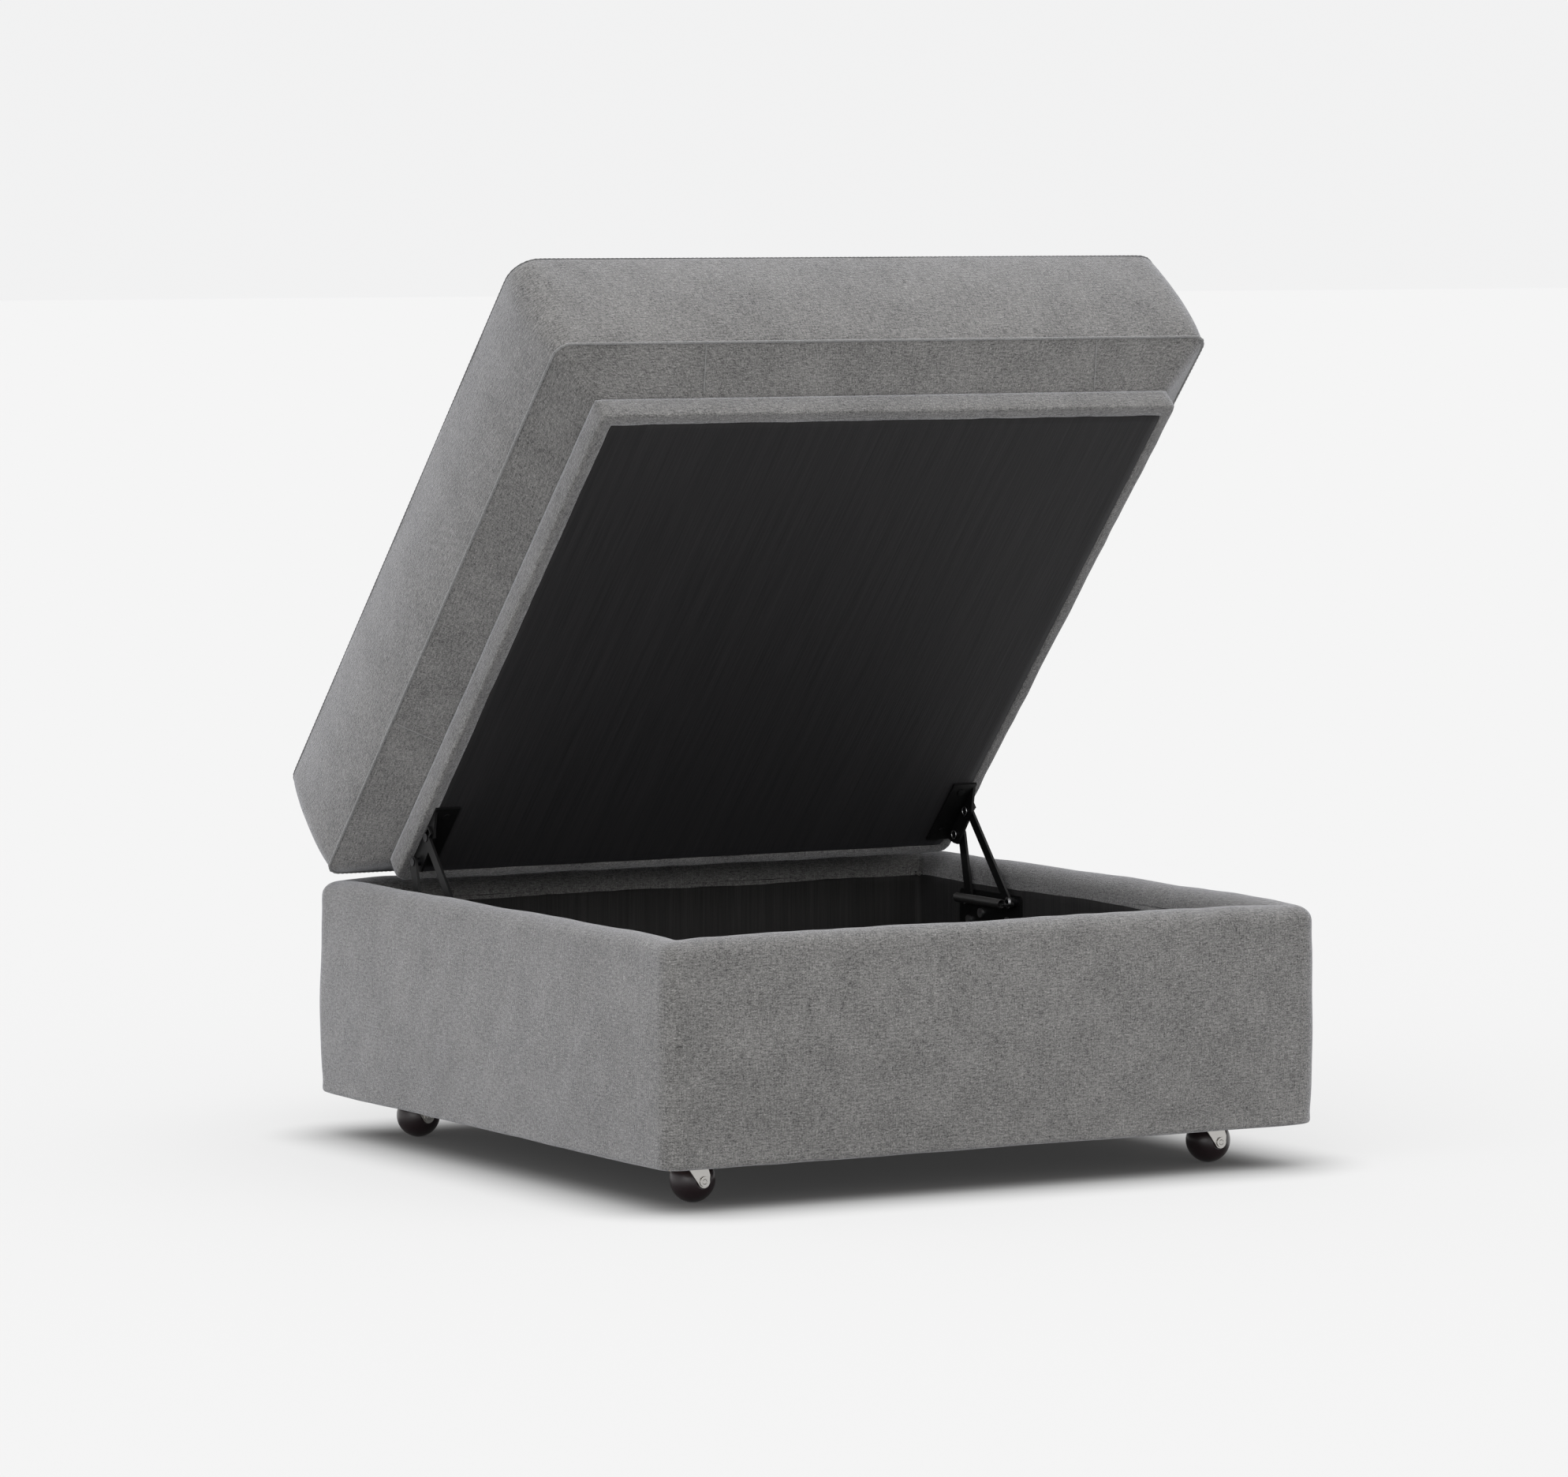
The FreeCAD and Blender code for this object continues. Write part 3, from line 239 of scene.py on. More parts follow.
# %% [markdown]
# ## The floor
# In a studio picture of furniture the floor and the backdrop run together, and only a soft
# shadow grounds the box. A plane lit by the same suns would show a line at the horizon. So the
# plane glows by itself, and its glow fades to almost nothing under the box: that soft shadow is
# partly cast by the suns and partly painted shadow in the floor's glow.

# %% Lay the floor
FLOOR_REACH = 60.0
# Where the floor's glow fades out round the box: a painted shadow under it.
GLOW_FROM, GLOW_REACH = 0.345, 0.17
GLOW_IN_PAINTED_SHADOW, GLOW_OUTSIDE = 0.032, 0.590
floor_mesh = bpy.data.meshes.new("studio_floor")
floor_corners = [(x * FLOOR_REACH, y * FLOOR_REACH, 0.0)
                 for x, y in ((-1, -1), (1, -1), (1, 1), (-1, 1))]
floor_mesh.from_pydata(floor_corners, [], [(0, 1, 2, 3)])
studio_floor = bpy.data.objects.new("studio_floor", floor_mesh)
bpy.context.scene.collection.objects.link(studio_floor)


def beyond(tree, coordinate, reach):
    """How far a coordinate lies outside plus or minus reach, squared."""
    past = maths(tree, "SUBTRACT", maths(tree, "ABSOLUTE", coordinate), reach)
    return maths(tree, "POWER", maths(tree, "MAXIMUM", past, 0.0), 2.0)


def floor_glow_with_painted_shadow():
    """A pale matt floor whose glow fades out under the box, a painted shadow."""
    paint = bpy.data.materials.new("floor_paint")
    paint.use_nodes = True
    tree = paint.node_tree
    shader = tree.nodes["Principled BSDF"]
    shader.inputs["Base Color"].default_value = (0.20, 0.20, 0.20, 1.0)
    shader.inputs["Roughness"].default_value = 0.9
    shader.inputs["Specular IOR Level"].default_value = 0.0
    shader.inputs["Emission Strength"].default_value = 1.0
    place = add(tree, "ShaderNodeNewGeometry").outputs["Position"]
    apart = add(tree, "ShaderNodeSeparateXYZ", {0: place})
    far = maths(tree, "SQRT", maths(tree, "ADD", beyond(tree, apart.outputs[0], GLOW_FROM),
                                    beyond(tree, apart.outputs[1], GLOW_FROM)))
    # The glow fades out near the box, a painted shadow under it.
    glow = add(tree, "ShaderNodeMapRange",
               {"Value": far, "From Max": GLOW_REACH, "To Min": GLOW_IN_PAINTED_SHADOW,
                "To Max": GLOW_OUTSIDE}, interpolation_type="SMOOTHSTEP")
    tree.links.new(glow.outputs["Result"], shader.inputs["Emission Color"])
    return paint


floor_mesh.materials.append(floor_glow_with_painted_shadow())
print("floor laid, glowing from %.2f m out" % GLOW_FROM)


# %% The shared yarn group
def make_yarn_group():
    """Flecks, slubs and cloudy nap of a chenille, from UVs in metres."""
    group, entry, leave = new_group(
        "yarn_flecks",
        [("Vector", "NodeSocketVector", None), ("Nap Vector", "NodeSocketVector", None),
         ("Fleck", "NodeSocketFloat", 0.3), ("Cloud", "NodeSocketFloat", 0.12)],
        [("Shade", "NodeSocketFloat"), ("Height", "NodeSocketFloat")])
    uv, nap = entry.outputs["Vector"], entry.outputs["Nap Vector"]
    fine = noise(group, stretched(group, uv, (430, 700, 1)), 1.0, 3.0, 0.75).outputs[0]
    slub = noise(group, stretched(group, uv, (120, 430, 1)), 1.0, 2.0, 0.6).outputs[0]
    warp = noise(group, stretched(group, uv, (620, 90, 1)), 1.0, 1.0, 0.5).outputs[0]
    speck = noise(group, stretched(group, uv, (480, 640, 1)), 1.0, 1.0, 0.5).outputs[0]
    bright = add(group, "ShaderNodeMapRange", {"Value": speck, "From Min": 0.60,
                                               "From Max": 0.80, "To Max": 0.55})
    cloud = noise(group, nap, 24.0, 4.0, 0.62).outputs[0]
    broad = noise(group, nap, 6.0, 3.0, 0.55).outputs[0]
    threads = maths(group, "ADD", maths(group, "MULTIPLY", fine, 0.56),
                    maths(group, "ADD", maths(group, "MULTIPLY", slub, 0.30),
                          maths(group, "MULTIPLY", warp, 0.14)))
    flecks = maths(group, "MULTIPLY",
                   maths(group, "ADD", maths(group, "SUBTRACT", threads, 0.52),
                         maths(group, "MULTIPLY", bright.outputs[0], 0.35)),
                   maths(group, "MULTIPLY", entry.outputs["Fleck"], 4.0))
    marks = maths(group, "ADD", maths(group, "MULTIPLY", cloud, 0.62),
                  maths(group, "MULTIPLY", broad, 0.38))
    clouds = maths(group, "MULTIPLY", maths(group, "SUBTRACT", marks, 0.5),
                   maths(group, "MULTIPLY", entry.outputs["Cloud"], 4.0))
    shade = maths(group, "MAXIMUM", 0.12,
                  maths(group, "ADD", 1.0, maths(group, "ADD", flecks, clouds)))
    group.links.new(shade, leave.inputs["Shade"])
    group.links.new(threads, leave.inputs["Height"])
    return group


yarn_group = make_yarn_group()
print("yarn group with", len(yarn_group.nodes), "nodes")


# %% The shared streak and grain groups
def make_streak_group():
    """Long fine streaks, as in a bonded lining cloth or along sawn timber."""
    group, entry, leave = new_group(
        "long_streaks",
        [("Vector", "NodeSocketVector", None), ("Contrast", "NodeSocketFloat", 0.3)],
        [("Shade", "NodeSocketFloat"), ("Height", "NodeSocketFloat")])
    uv = entry.outputs["Vector"]
    long = noise(group, stretched(group, uv, (520, 9, 1)), 1.0, 3.0, 0.6).outputs[0]
    wide = noise(group, stretched(group, uv, (120, 3, 1)), 1.0, 2.0, 0.5).outputs[0]
    grit = noise(group, stretched(group, uv, (900, 900, 1)), 1.0, 1.0, 0.5).outputs[0]
    sum_long = maths(group, "ADD", maths(group, "MULTIPLY", long, 0.5),
                     maths(group, "ADD", maths(group, "MULTIPLY", wide, 0.3),
                           maths(group, "MULTIPLY", grit, 0.2)))
    shade = maths(group, "ADD", 1.0,
                  maths(group, "MULTIPLY", maths(group, "SUBTRACT", sum_long, 0.5),
                        maths(group, "MULTIPLY", entry.outputs["Contrast"], 4.0)))
    group.links.new(shade, leave.inputs["Shade"])
    group.links.new(sum_long, leave.inputs["Height"])
    return group


def make_grain_group():
    """Fine grain and faint smudges of coated or brushed metal and moulded plastic."""
    group, entry, leave = new_group(
        "surface_grain",
        [("Vector", "NodeSocketVector", None), ("Size", "NodeSocketFloat", 900.0),
         ("Smudge", "NodeSocketFloat", 0.2), ("Base Roughness", "NodeSocketFloat", 0.4)],
        [("Shade", "NodeSocketFloat"), ("Roughness", "NodeSocketFloat"),
         ("Height", "NodeSocketFloat")])
    place = entry.outputs["Vector"]
    grain = add(group, "ShaderNodeTexNoise", {"Vector": place, "Scale": entry.outputs["Size"],
                                              "Detail": 2.0}).outputs[0]
    smudge = noise(group, place, 38.0, 4.0, 0.65).outputs[0]
    off = maths(group, "MULTIPLY", maths(group, "SUBTRACT", smudge, 0.5),
                entry.outputs["Smudge"])
    shade = maths(group, "ADD", 1.0, maths(group, "MULTIPLY", off, 1.5))
    rough = maths(group, "ADD", entry.outputs["Base Roughness"], off)
    group.links.new(shade, leave.inputs["Shade"])
    group.links.new(rough, leave.inputs["Roughness"])
    group.links.new(grain, leave.inputs["Height"])
    return group


streak_group = make_streak_group()
grain_group = make_grain_group()
print("streak and grain groups ready")


# %% Cloth finishes
def place_group(tree, group, links):
    node = tree.nodes.new("ShaderNodeGroup")
    node.node_tree = group
    for key, value in links.items():
        if isinstance(value, bpy.types.NodeSocket):
            tree.links.new(value, node.inputs[key])
        else:
            node.inputs[key].default_value = value
    return node


def new_finish(name, roughness, **plain):
    """A material with its Principled shader, and the values that are the same all over."""
    finish = bpy.data.materials.new(name)
    finish.use_nodes = True
    shader = finish.node_tree.nodes["Principled BSDF"]
    shader.inputs["Roughness"].default_value = roughness
    for key, value in plain.items():
        shader.inputs[key.replace("_", " ")].default_value = value
    return finish, finish.node_tree, shader


def bump_into(tree, shader, height, distance, strength=1.0):
    node = add(tree, "ShaderNodeBump", {"Height": height, "Distance": distance,
                                        "Strength": strength})
    tree.links.new(node.outputs["Normal"], shader.inputs["Normal"])


def chenille(name, colour, fleck, cloud):
    """The woven upholstery, with a soft sheen along its crests."""
    finish, tree, shader = new_finish(
        name, 0.92, Sheen_Weight=0.60, Sheen_Roughness=0.42,
        Sheen_Tint=(0.93, 0.94, 1.0, 1.0), Specular_IOR_Level=0.12)
    where = tree.nodes.new("ShaderNodeTexCoord")
    yarn = place_group(tree, yarn_group, {
        "Vector": where.outputs["UV"], "Nap Vector": where.outputs["Object"],
        "Fleck": fleck, "Cloud": cloud})
    tree.links.new(lighten(tree, colour, yarn.outputs["Shade"]),
                   shader.inputs["Base Color"])
    bump_into(tree, shader, yarn.outputs["Height"], 0.0016)
    return finish


def streaked_cloth(name, colour, contrast, sheen, depth):
    """A black bonded cloth with fine streaks along its length."""
    finish, tree, shader = new_finish(
        name, 0.72, Sheen_Weight=sheen, Sheen_Roughness=0.5,
        Sheen_Tint=(0.9, 0.9, 1.0, 1.0), Specular_IOR_Level=0.3)
    where = tree.nodes.new("ShaderNodeTexCoord")
    streaks = place_group(tree, streak_group, {"Vector": where.outputs["UV"],
                                               "Contrast": contrast})
    tree.links.new(lighten(tree, colour, streaks.outputs["Shade"]),
                   shader.inputs["Base Color"])
    bump_into(tree, shader, streaks.outputs["Height"], depth)
    return finish


upholstery = chenille("grey_chenille", (0.149, 0.146, 0.142), 1.30, 0.20)
lid_underside = streaked_cloth("lid_underside_cloth", (0.0072, 0.0066, 0.0070), 1.3,
                               0.06, 0.0005)
well_lining = streaked_cloth("well_lining_cloth", (0.011, 0.0103, 0.0100), 1.1, 0.06, 0.0006)
dust_cloth = streaked_cloth("dust_cloth", (0.012, 0.012, 0.013), 0.4, 0.05, 0.0004)
print("cloths:", upholstery.name, lid_underside.name, well_lining.name, dust_cloth.name)


# %% Metal, plastic, timber and foam finishes
def grained(name, colour, roughness, size, smudge, depth, **plain):
    """A hard finish with fine grain: coated or bare metal, or moulded plastic."""
    finish, tree, shader = new_finish(name, roughness, **plain)
    where = tree.nodes.new("ShaderNodeTexCoord")
    grain = place_group(tree, grain_group, {
        "Vector": where.outputs["Object"], "Size": size, "Smudge": smudge,
        "Base Roughness": roughness})
    tree.links.new(lighten(tree, colour, grain.outputs["Shade"]),
                   shader.inputs["Base Color"])
    tree.links.new(grain.outputs["Roughness"], shader.inputs["Roughness"])
    bump_into(tree, shader, grain.outputs["Height"], depth)
    return finish


def timber(name, colour, contrast):
    """Sawn softwood or plywood, seen only when the box is taken apart."""
    finish, tree, shader = new_finish(name, 0.7)
    where = tree.nodes.new("ShaderNodeTexCoord")
    streaks = place_group(tree, streak_group, {
        "Vector": stretched(tree, where.outputs["Object"], (0.3, 0.3, 0.3)),
        "Contrast": contrast})
    tree.links.new(lighten(tree, colour, streaks.outputs["Shade"]),
                   shader.inputs["Base Color"])
    bump_into(tree, shader, streaks.outputs["Height"], 0.0003)
    return finish


black_coat = grained("black_powder_coat", (0.0035, 0.0035, 0.0037), 0.46, 1500.0, 0.14, 0.00008,
                     Specular_IOR_Level=0.22)
rivet_coat = grained("blackened_rivet", (0.03, 0.03, 0.032), 0.26, 900.0, 0.15, 0.00004,
                     Metallic=0.85)
spring_coat = grained("oiled_spring_wire", (0.035, 0.034, 0.034), 0.33, 1200.0, 0.2, 0.00005,
                      Metallic=0.6)
# Bright zinc for the bright steel parts, also used for the painted highlight rims on the hinge
# rivets.
bright_zinc_and_rim_highlight = grained("bright_zinc_and_rim_highlight", (0.62, 0.62, 0.63), 0.3, 800.0, 0.2, 0.00005,
                      Metallic=1.0)
pressed_nickel = grained("pressed_nickel", (0.60, 0.585, 0.56), 0.34, 700.0, 0.22, 0.00008,
                         Metallic=1.0)
ball_plastic = grained("plum_ball_plastic", (0.018, 0.0095, 0.0115), 0.33, 600.0, 0.12,
                       0.00005, Coat_Weight=0.25, Coat_Roughness=0.22)
plywood = timber("birch_plywood", (0.52, 0.36, 0.20), 0.3)
softwood = timber("pine_batten", (0.58, 0.40, 0.22), 0.35)
print("hard finishes ready")

# %% [markdown]
# ## Finishes for the CAD parts
# Each CAD part names the material it is made of, so one table from that name to a finish
# dresses them all. Cloth and foam parts get a finish here too, though pieces modelled
# below stand in for them.

# %% Give every CAD part its finish
slot_finish = {
    "plywood": plywood, "softwood": softwood, "black_steel": black_coat,
    "rivet_steel": rivet_coat, "spring_steel": spring_coat, "bright_steel": bright_zinc_and_rim_highlight,
    "caster_metal": pressed_nickel, "caster_ball": ball_plastic, "upholstery": upholstery,
    "black_lining": well_lining, "foam": upholstery,
}
for part in frame["record"]["subparts"]:
    shown = frame["nodes"][part["node"]]
    shown.data.materials.clear()
    shown.data.materials.append(slot_finish[part["material_slot"]])
print(len(frame["nodes"]), "parts finished")

# %% [markdown]
# ## How cloth is laid out here
# Every covered form is a stack of rings round a rounded square. Each ring has the same
# number of points, starting halfway round the front left corner, so rings of any size can
# be skinned together, and a flat end can be closed with a square grid that shares the
# ring's points. The UVs are the cloth's own length and width in metres, which keeps the
# yarn the same size on every piece.


# %% Rings, grids and skins
def side_path(length, start_radius, end_radius, count):
    """Points along one side, from halfway round one corner to halfway round the next."""
    first, last = start_radius * math.pi / 4, end_radius * math.pi / 4
    total = length - start_radius - end_radius + first + last
    along = np.arange(count) / count * total
    path = np.zeros((count, 2))
    path[:, 0] = start_radius + along - first
    near, far = along < first, along > total - last
    if near.any():
        turn = (first - along[near]) / start_radius
        path[near, 0] = start_radius * (1 - np.sin(turn))
        path[near, 1] = start_radius * (1 - np.cos(turn))
    if far.any():
        turn = (along[far] - (total - last)) / end_radius
        path[far, 0] = length - end_radius * (1 - np.sin(turn))
        path[far, 1] = end_radius * (1 - np.cos(turn))
    return path


def ring(west, east, south, north, height, radius, count):
    """Four sides of points round a rounded square; one radius, or one for each corner."""
    bends = list(radius) if hasattr(radius, "__len__") else [radius] * 4
    corners = [(west, south), (east, south), (east, north), (west, north)]
    along = [(1, 0), (0, 1), (-1, 0), (0, -1)]
    inward = [(0, 1), (-1, 0), (0, -1), (1, 0)]
    lengths = [east - west, north - south] * 2
    sides = []
    for k in range(4):
        path = side_path(lengths[k], bends[k], bends[(k + 1) % 4], count)
        sides.append(np.array(corners[k]) + path[:, :1] * along[k] + path[:, 1:] * inward[k])
    plan = np.vstack(sides)
    return np.column_stack([plan, np.full(len(plan), height)])


def square_grid(edge, count):
    """A grid of points inside a ring, its edges being the ring itself."""
    loop = np.vstack([edge, edge[:1]])
    front = loop[0:count + 1]
    right = loop[count:2 * count + 1]
    back = loop[2 * count:3 * count + 1][::-1]
    left = loop[3 * count:4 * count + 1][::-1]
    u = np.linspace(0, 1, count + 1)[:, None, None]
    v = np.linspace(0, 1, count + 1)[None, :, None]
    blend = ((1 - v) * front[:, None] + v * back[:, None]
             + (1 - u) * left[None, :] + u * right[None, :])
    corner = ((1 - u) * (1 - v) * front[0] + u * (1 - v) * front[-1]
              + (1 - u) * v * back[0] + u * v * back[-1])
    return blend - corner


print("ring of", len(ring(0, 1, 0, 1, 0, 0.1, 8)), "points, 8 a side")


# %% Gather a piece of sewn cloth before it is made
class Skin:
    """Points, faces and UVs of one piece of sewn cloth, gathered before it is made."""

    def __init__(self):
        self.points = np.zeros((0, 3))
        self.faces = []
        self.coords = []

    def take(self, rows):
        start = len(self.points)
        self.points = np.vstack([self.points, rows])
        return np.arange(start, start + len(rows))

    def wrap(self, rings, turned=False, closed=False):
        """Skin a stack of rings and return the index rows, one for each ring."""
        rows = [self.take(r) for r in rings]
        wide = max(rings, key=lambda r: np.ptp(r[:, 0]))
        steps = np.linalg.norm(np.roll(wide, -1, 0) - wide, axis=1)
        across = np.concatenate([[0], np.cumsum(steps)])
        middle = len(wide) // 8
        down = [0.0]
        for a, b in zip(rings, rings[1:]):
            down.append(down[-1] + np.linalg.norm(b[middle] - a[middle]))
        if closed:
            down.append(down[-1] + np.linalg.norm(rings[0][middle] - rings[-1][middle]))
        size = len(wide)
        for j in range(len(rings) if closed else len(rings) - 1):
            upper = rows[(j + 1) % len(rows)]
            for i in range(size):
                k = (i + 1) % size
                face = (rows[j][i], rows[j][k], upper[k], upper[i])
                place = ((across[i], down[j]), (across[i + 1], down[j]),
                         (across[i + 1], down[j + 1]), (across[i], down[j + 1]))
                self.add_face(face, place, turned)
        return rows

    def close(self, row, count, turned=False):
        """Close a ring with a square grid that shares its points."""
        grid = square_grid(self.points[row], count)
        index = np.zeros((count + 1, count + 1), int)
        loop = np.concatenate([row, row[:1]])
        index[:, 0] = loop[0:count + 1]
        index[-1, :] = loop[count:2 * count + 1]
        index[:, -1] = loop[2 * count:3 * count + 1][::-1]
        index[0, :] = loop[3 * count:4 * count + 1][::-1]
        inside = self.take(grid[1:-1, 1:-1].reshape(-1, 3))
        index[1:-1, 1:-1] = inside.reshape(count - 1, count - 1)
        for i in range(count):
            for j in range(count):
                face = (index[i, j], index[i + 1, j], index[i + 1, j + 1], index[i, j + 1])
                place = [tuple(self.points[f][:2]) for f in face]
                self.add_face(face, place, turned)
        return index

    def sleeve(self, rows, run, girth, closed, turned):
        """Faces round a tube whose rows run along it; closed joins its two ends."""
        size = len(rows[0])
        for k in range(len(rows)):
            a, b = rows[k], rows[(k + 1) % len(rows)]
            for i in range(size if closed else size - 1):
                j = (i + 1) % size
                place = ((run[i], k * girth), (run[i + 1], k * girth),
                         (run[i + 1], (k + 1) * girth), (run[i], (k + 1) * girth))
                self.add_face((a[i], a[j], b[j], b[i]), place, turned)

    def add_face(self, face, place, turned):
        self.faces.append(face[::-1] if turned else face)
        self.coords.extend(place[::-1] if turned else place)

    def make(self, name, finish):
        mesh = bpy.data.meshes.new(name)
        mesh.from_pydata(self.points.tolist(), [], [[int(f) for f in q] for q in self.faces])
        layer = mesh.uv_layers.new(name="cloth")
        layer.data.foreach_set("uv", np.array(self.coords, np.float32).ravel())
        mesh.polygons.foreach_set("use_smooth", [True] * len(mesh.polygons))
        mesh.materials.append(finish)
        piece = bpy.data.objects.new(name, mesh)
        bpy.context.scene.collection.objects.link(piece)
        return piece


# %% Read and write a piece's points
def read_points(piece):
    flat = np.zeros(len(piece.data.vertices) * 3)
    piece.data.vertices.foreach_get("co", flat)
    return flat.reshape(-1, 3)


def write_points(piece, points):
    piece.data.vertices.foreach_set("co", np.asarray(points, float).ravel())
    piece.data.update()


def read_normals(piece):
    flat = np.zeros(len(piece.data.vertices) * 3, np.float32)
    piece.data.vertex_normals.foreach_get("vector", flat)
    return flat.reshape(-1, 3).astype(float)


print("cloth helpers ready")


# %% Slow unevenness of stuffed cloth
def ripples(points, length, seed):
    """A smooth made-up height for each point, from a few crossing waves."""
    chance = np.random.default_rng(seed)
    total = np.zeros(len(points))
    for _ in range(9):
        direction = chance.normal(size=3)
        direction /= np.linalg.norm(direction)
        wave = length * chance.uniform(0.6, 1.7)
        total += np.sin(points @ direction * 2 * math.pi / wave + chance.uniform(0, 6.28))
    return total / 4.0


def swell(piece, amount):
    """Move each point of a piece along its normal."""
    write_points(piece, read_points(piece) + read_normals(piece) * np.asarray(amount)[:, None])


print("ripples ready")

# %% [markdown]
# ## The lid cushion
# The lid is sewn from a top panel, a boxing band and a sloping under-border, and stuffed
# with foam. Cloth simulation gives that look best: the seams are held still, air pressure
# swells the panels between them, and the corners stay tight because they are short of
# cloth. The swelling is capped so that the cushion keeps its measured size.

# %% Lay out the cushion's panels
STITCHES_PER_SIDE = 88
top_bend, low_bend = 0.030, 0.017


def lid_ring(inset, height, radius):
    return ring(-lid_half + inset, lid_half - inset, -lid_depth + inset, -inset, height,
                radius, STITCHES_PER_SIDE)


border_inset = lid_half - plinth_half
border_steps = [1, 0.97, 0.9, 0.78, 0.64, 0.5, 0.36, 0.23, 0.12, 0.045, 0.015]
border_rings = [lid_ring(border_inset * t, border_low * t, low_bend + (0.010 - low_bend) * t)
                for t in border_steps]
band_steps = [0, 0.012, 0.04, 0.09, 0.16, 0.25, 0.34, 0.43, 0.52, 0.61, 0.7, 0.79, 0.87, 0.93,
              0.97, 0.99, 1]
band_rings = [lid_ring(-0.007 * math.sin(math.pi * t) ** 0.8, top_seam * t,
                       low_bend + (top_bend - low_bend) * t + 0.012 * math.sin(math.pi * t))
              for t in band_steps]
crown_rings = [lid_ring(inset, top_seam + rise, max(top_bend - inset, 0.008))
               for inset, rise in ((0.0015, 0.0006), (0.005, 0.0022), (0.012, 0.0045),
                                   (0.021, 0.0068), (0.030, 0.0080))]
lid_skin = Skin()
lid_rows = lid_skin.wrap(border_rings + band_rings + crown_rings)
lid_skin.close(lid_rows[0], STITCHES_PER_SIDE, turned=True)
underside_end = len(lid_skin.points)
lid_skin.close(lid_rows[-1], STITCHES_PER_SIDE)
lid_cushion = lid_skin.make("lid_cushion", upholstery)
seam_rows = {"bottom": lid_rows[len(border_rings)],
             "top": lid_rows[len(border_rings) + len(band_rings) - 1]}
print("cushion cut with", len(lid_skin.faces), "faces")


# %% Swell it between its seams
def puff(piece, held, pressure, cap, steps=18):
    """Blow a piece up with cloth simulation, holding some points, and keep the result."""
    rest = read_points(piece)
    group = piece.vertex_groups.new(name="held")
    for weight in sorted(set(np.round(held, 2))):
        if weight > 0:
            chosen = np.nonzero(np.abs(held - weight) < 0.006)[0]
            group.add([int(i) for i in chosen], float(weight), "REPLACE")
    cloth = piece.modifiers.new("stuffing", "CLOTH")
    set_up = cloth.settings
    set_up.quality = 5
    set_up.mass = 0.35
    set_up.tension_stiffness = 30
    set_up.compression_stiffness = 30
    set_up.shear_stiffness = 12
    set_up.bending_stiffness = 4
    set_up.use_pressure = True
    set_up.uniform_pressure_force = pressure
    set_up.vertex_group_mass = "held"
    set_up.effector_weights.gravity = 0
    cloth.collision_settings.use_collision = False
    cloth.point_cache.frame_end = steps + 1
    scene = bpy.context.scene
    for step in range(1, steps + 1):
        scene.frame_set(step)
    settled = piece.evaluated_get(bpy.context.evaluated_depsgraph_get()).to_mesh()
    flat = np.zeros(len(settled.vertices) * 3)
    settled.vertices.foreach_get("co", flat)
    move = flat.reshape(-1, 3) - rest
    size = np.linalg.norm(move, axis=1)
    keep = np.where(size > 0, cap * np.tanh(size / cap) / np.maximum(size, 1e-9), 0)
    piece.modifiers.remove(cloth)
    piece.vertex_groups.remove(group)
    scene.frame_set(1)
    write_points(piece, rest + move * keep[:, None])
    return float(size.max())


held = np.zeros(len(lid_skin.points))
for row in [seam_rows["top"]] + lid_rows[:len(border_rings) + 1]:
    held[row] = 1.0
# The flat end under the plinth is hidden, and stays still.
held[lid_rows[-1].max() + 1:underside_end] = 1.0
STUFFING_PRESSURE, LARGEST_MOVE = 3.0, 0.011
moved = puff(lid_cushion, held, STUFFING_PRESSURE, LARGEST_MOVE)
print("largest move before the cap %.1f mm" % (1000 * moved))
free = np.ones(len(held)) - held
for row in (seam_rows["bottom"], seam_rows["top"]):
    for shift in (-1, 1):
        position = [i for i, r in enumerate(lid_rows) if r is row][0] + shift
        free[lid_rows[position]] = 0.4
lid_points = read_points(lid_cushion)
swell(lid_cushion, free * (0.0007 * ripples(lid_points, 0.14, 3)
                           + 0.00035 * ripples(lid_points, 0.045, 4)))
smooth = lid_cushion.modifiers.new("finer_cloth", "SUBSURF")
smooth.levels = smooth.render_levels = 1
write_points(lid_cushion, to_row_frame(read_points(lid_cushion)))
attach(lid_cushion, "lid")
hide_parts("lid_cover", "lid_foam")
print("cushion on the lid")

# %% [markdown]
# ## Sewn seams
# Where two panels meet, the turned-in edges push up a narrow ridge, pinched by each stitch.
# A tube swept along the seam gives that ridge, with a dimple at every stitch. Butt joins in
# a panel have no ridge, so they are a thread-thin line only.


# %% Make a stitched ridge along a closed line
def closed_line(points, step):
    """Points evenly spaced along a closed line."""
    loop = np.vstack([points, points[:1]])
    far = np.concatenate([[0], np.cumsum(np.linalg.norm(np.diff(loop, axis=0), axis=1))])
    count = int(far[-1] / step)
    at = np.linspace(0, far[-1], count, endpoint=False)
    return np.stack([np.interp(at, far, loop[:, k]) for k in range(3)], axis=1)


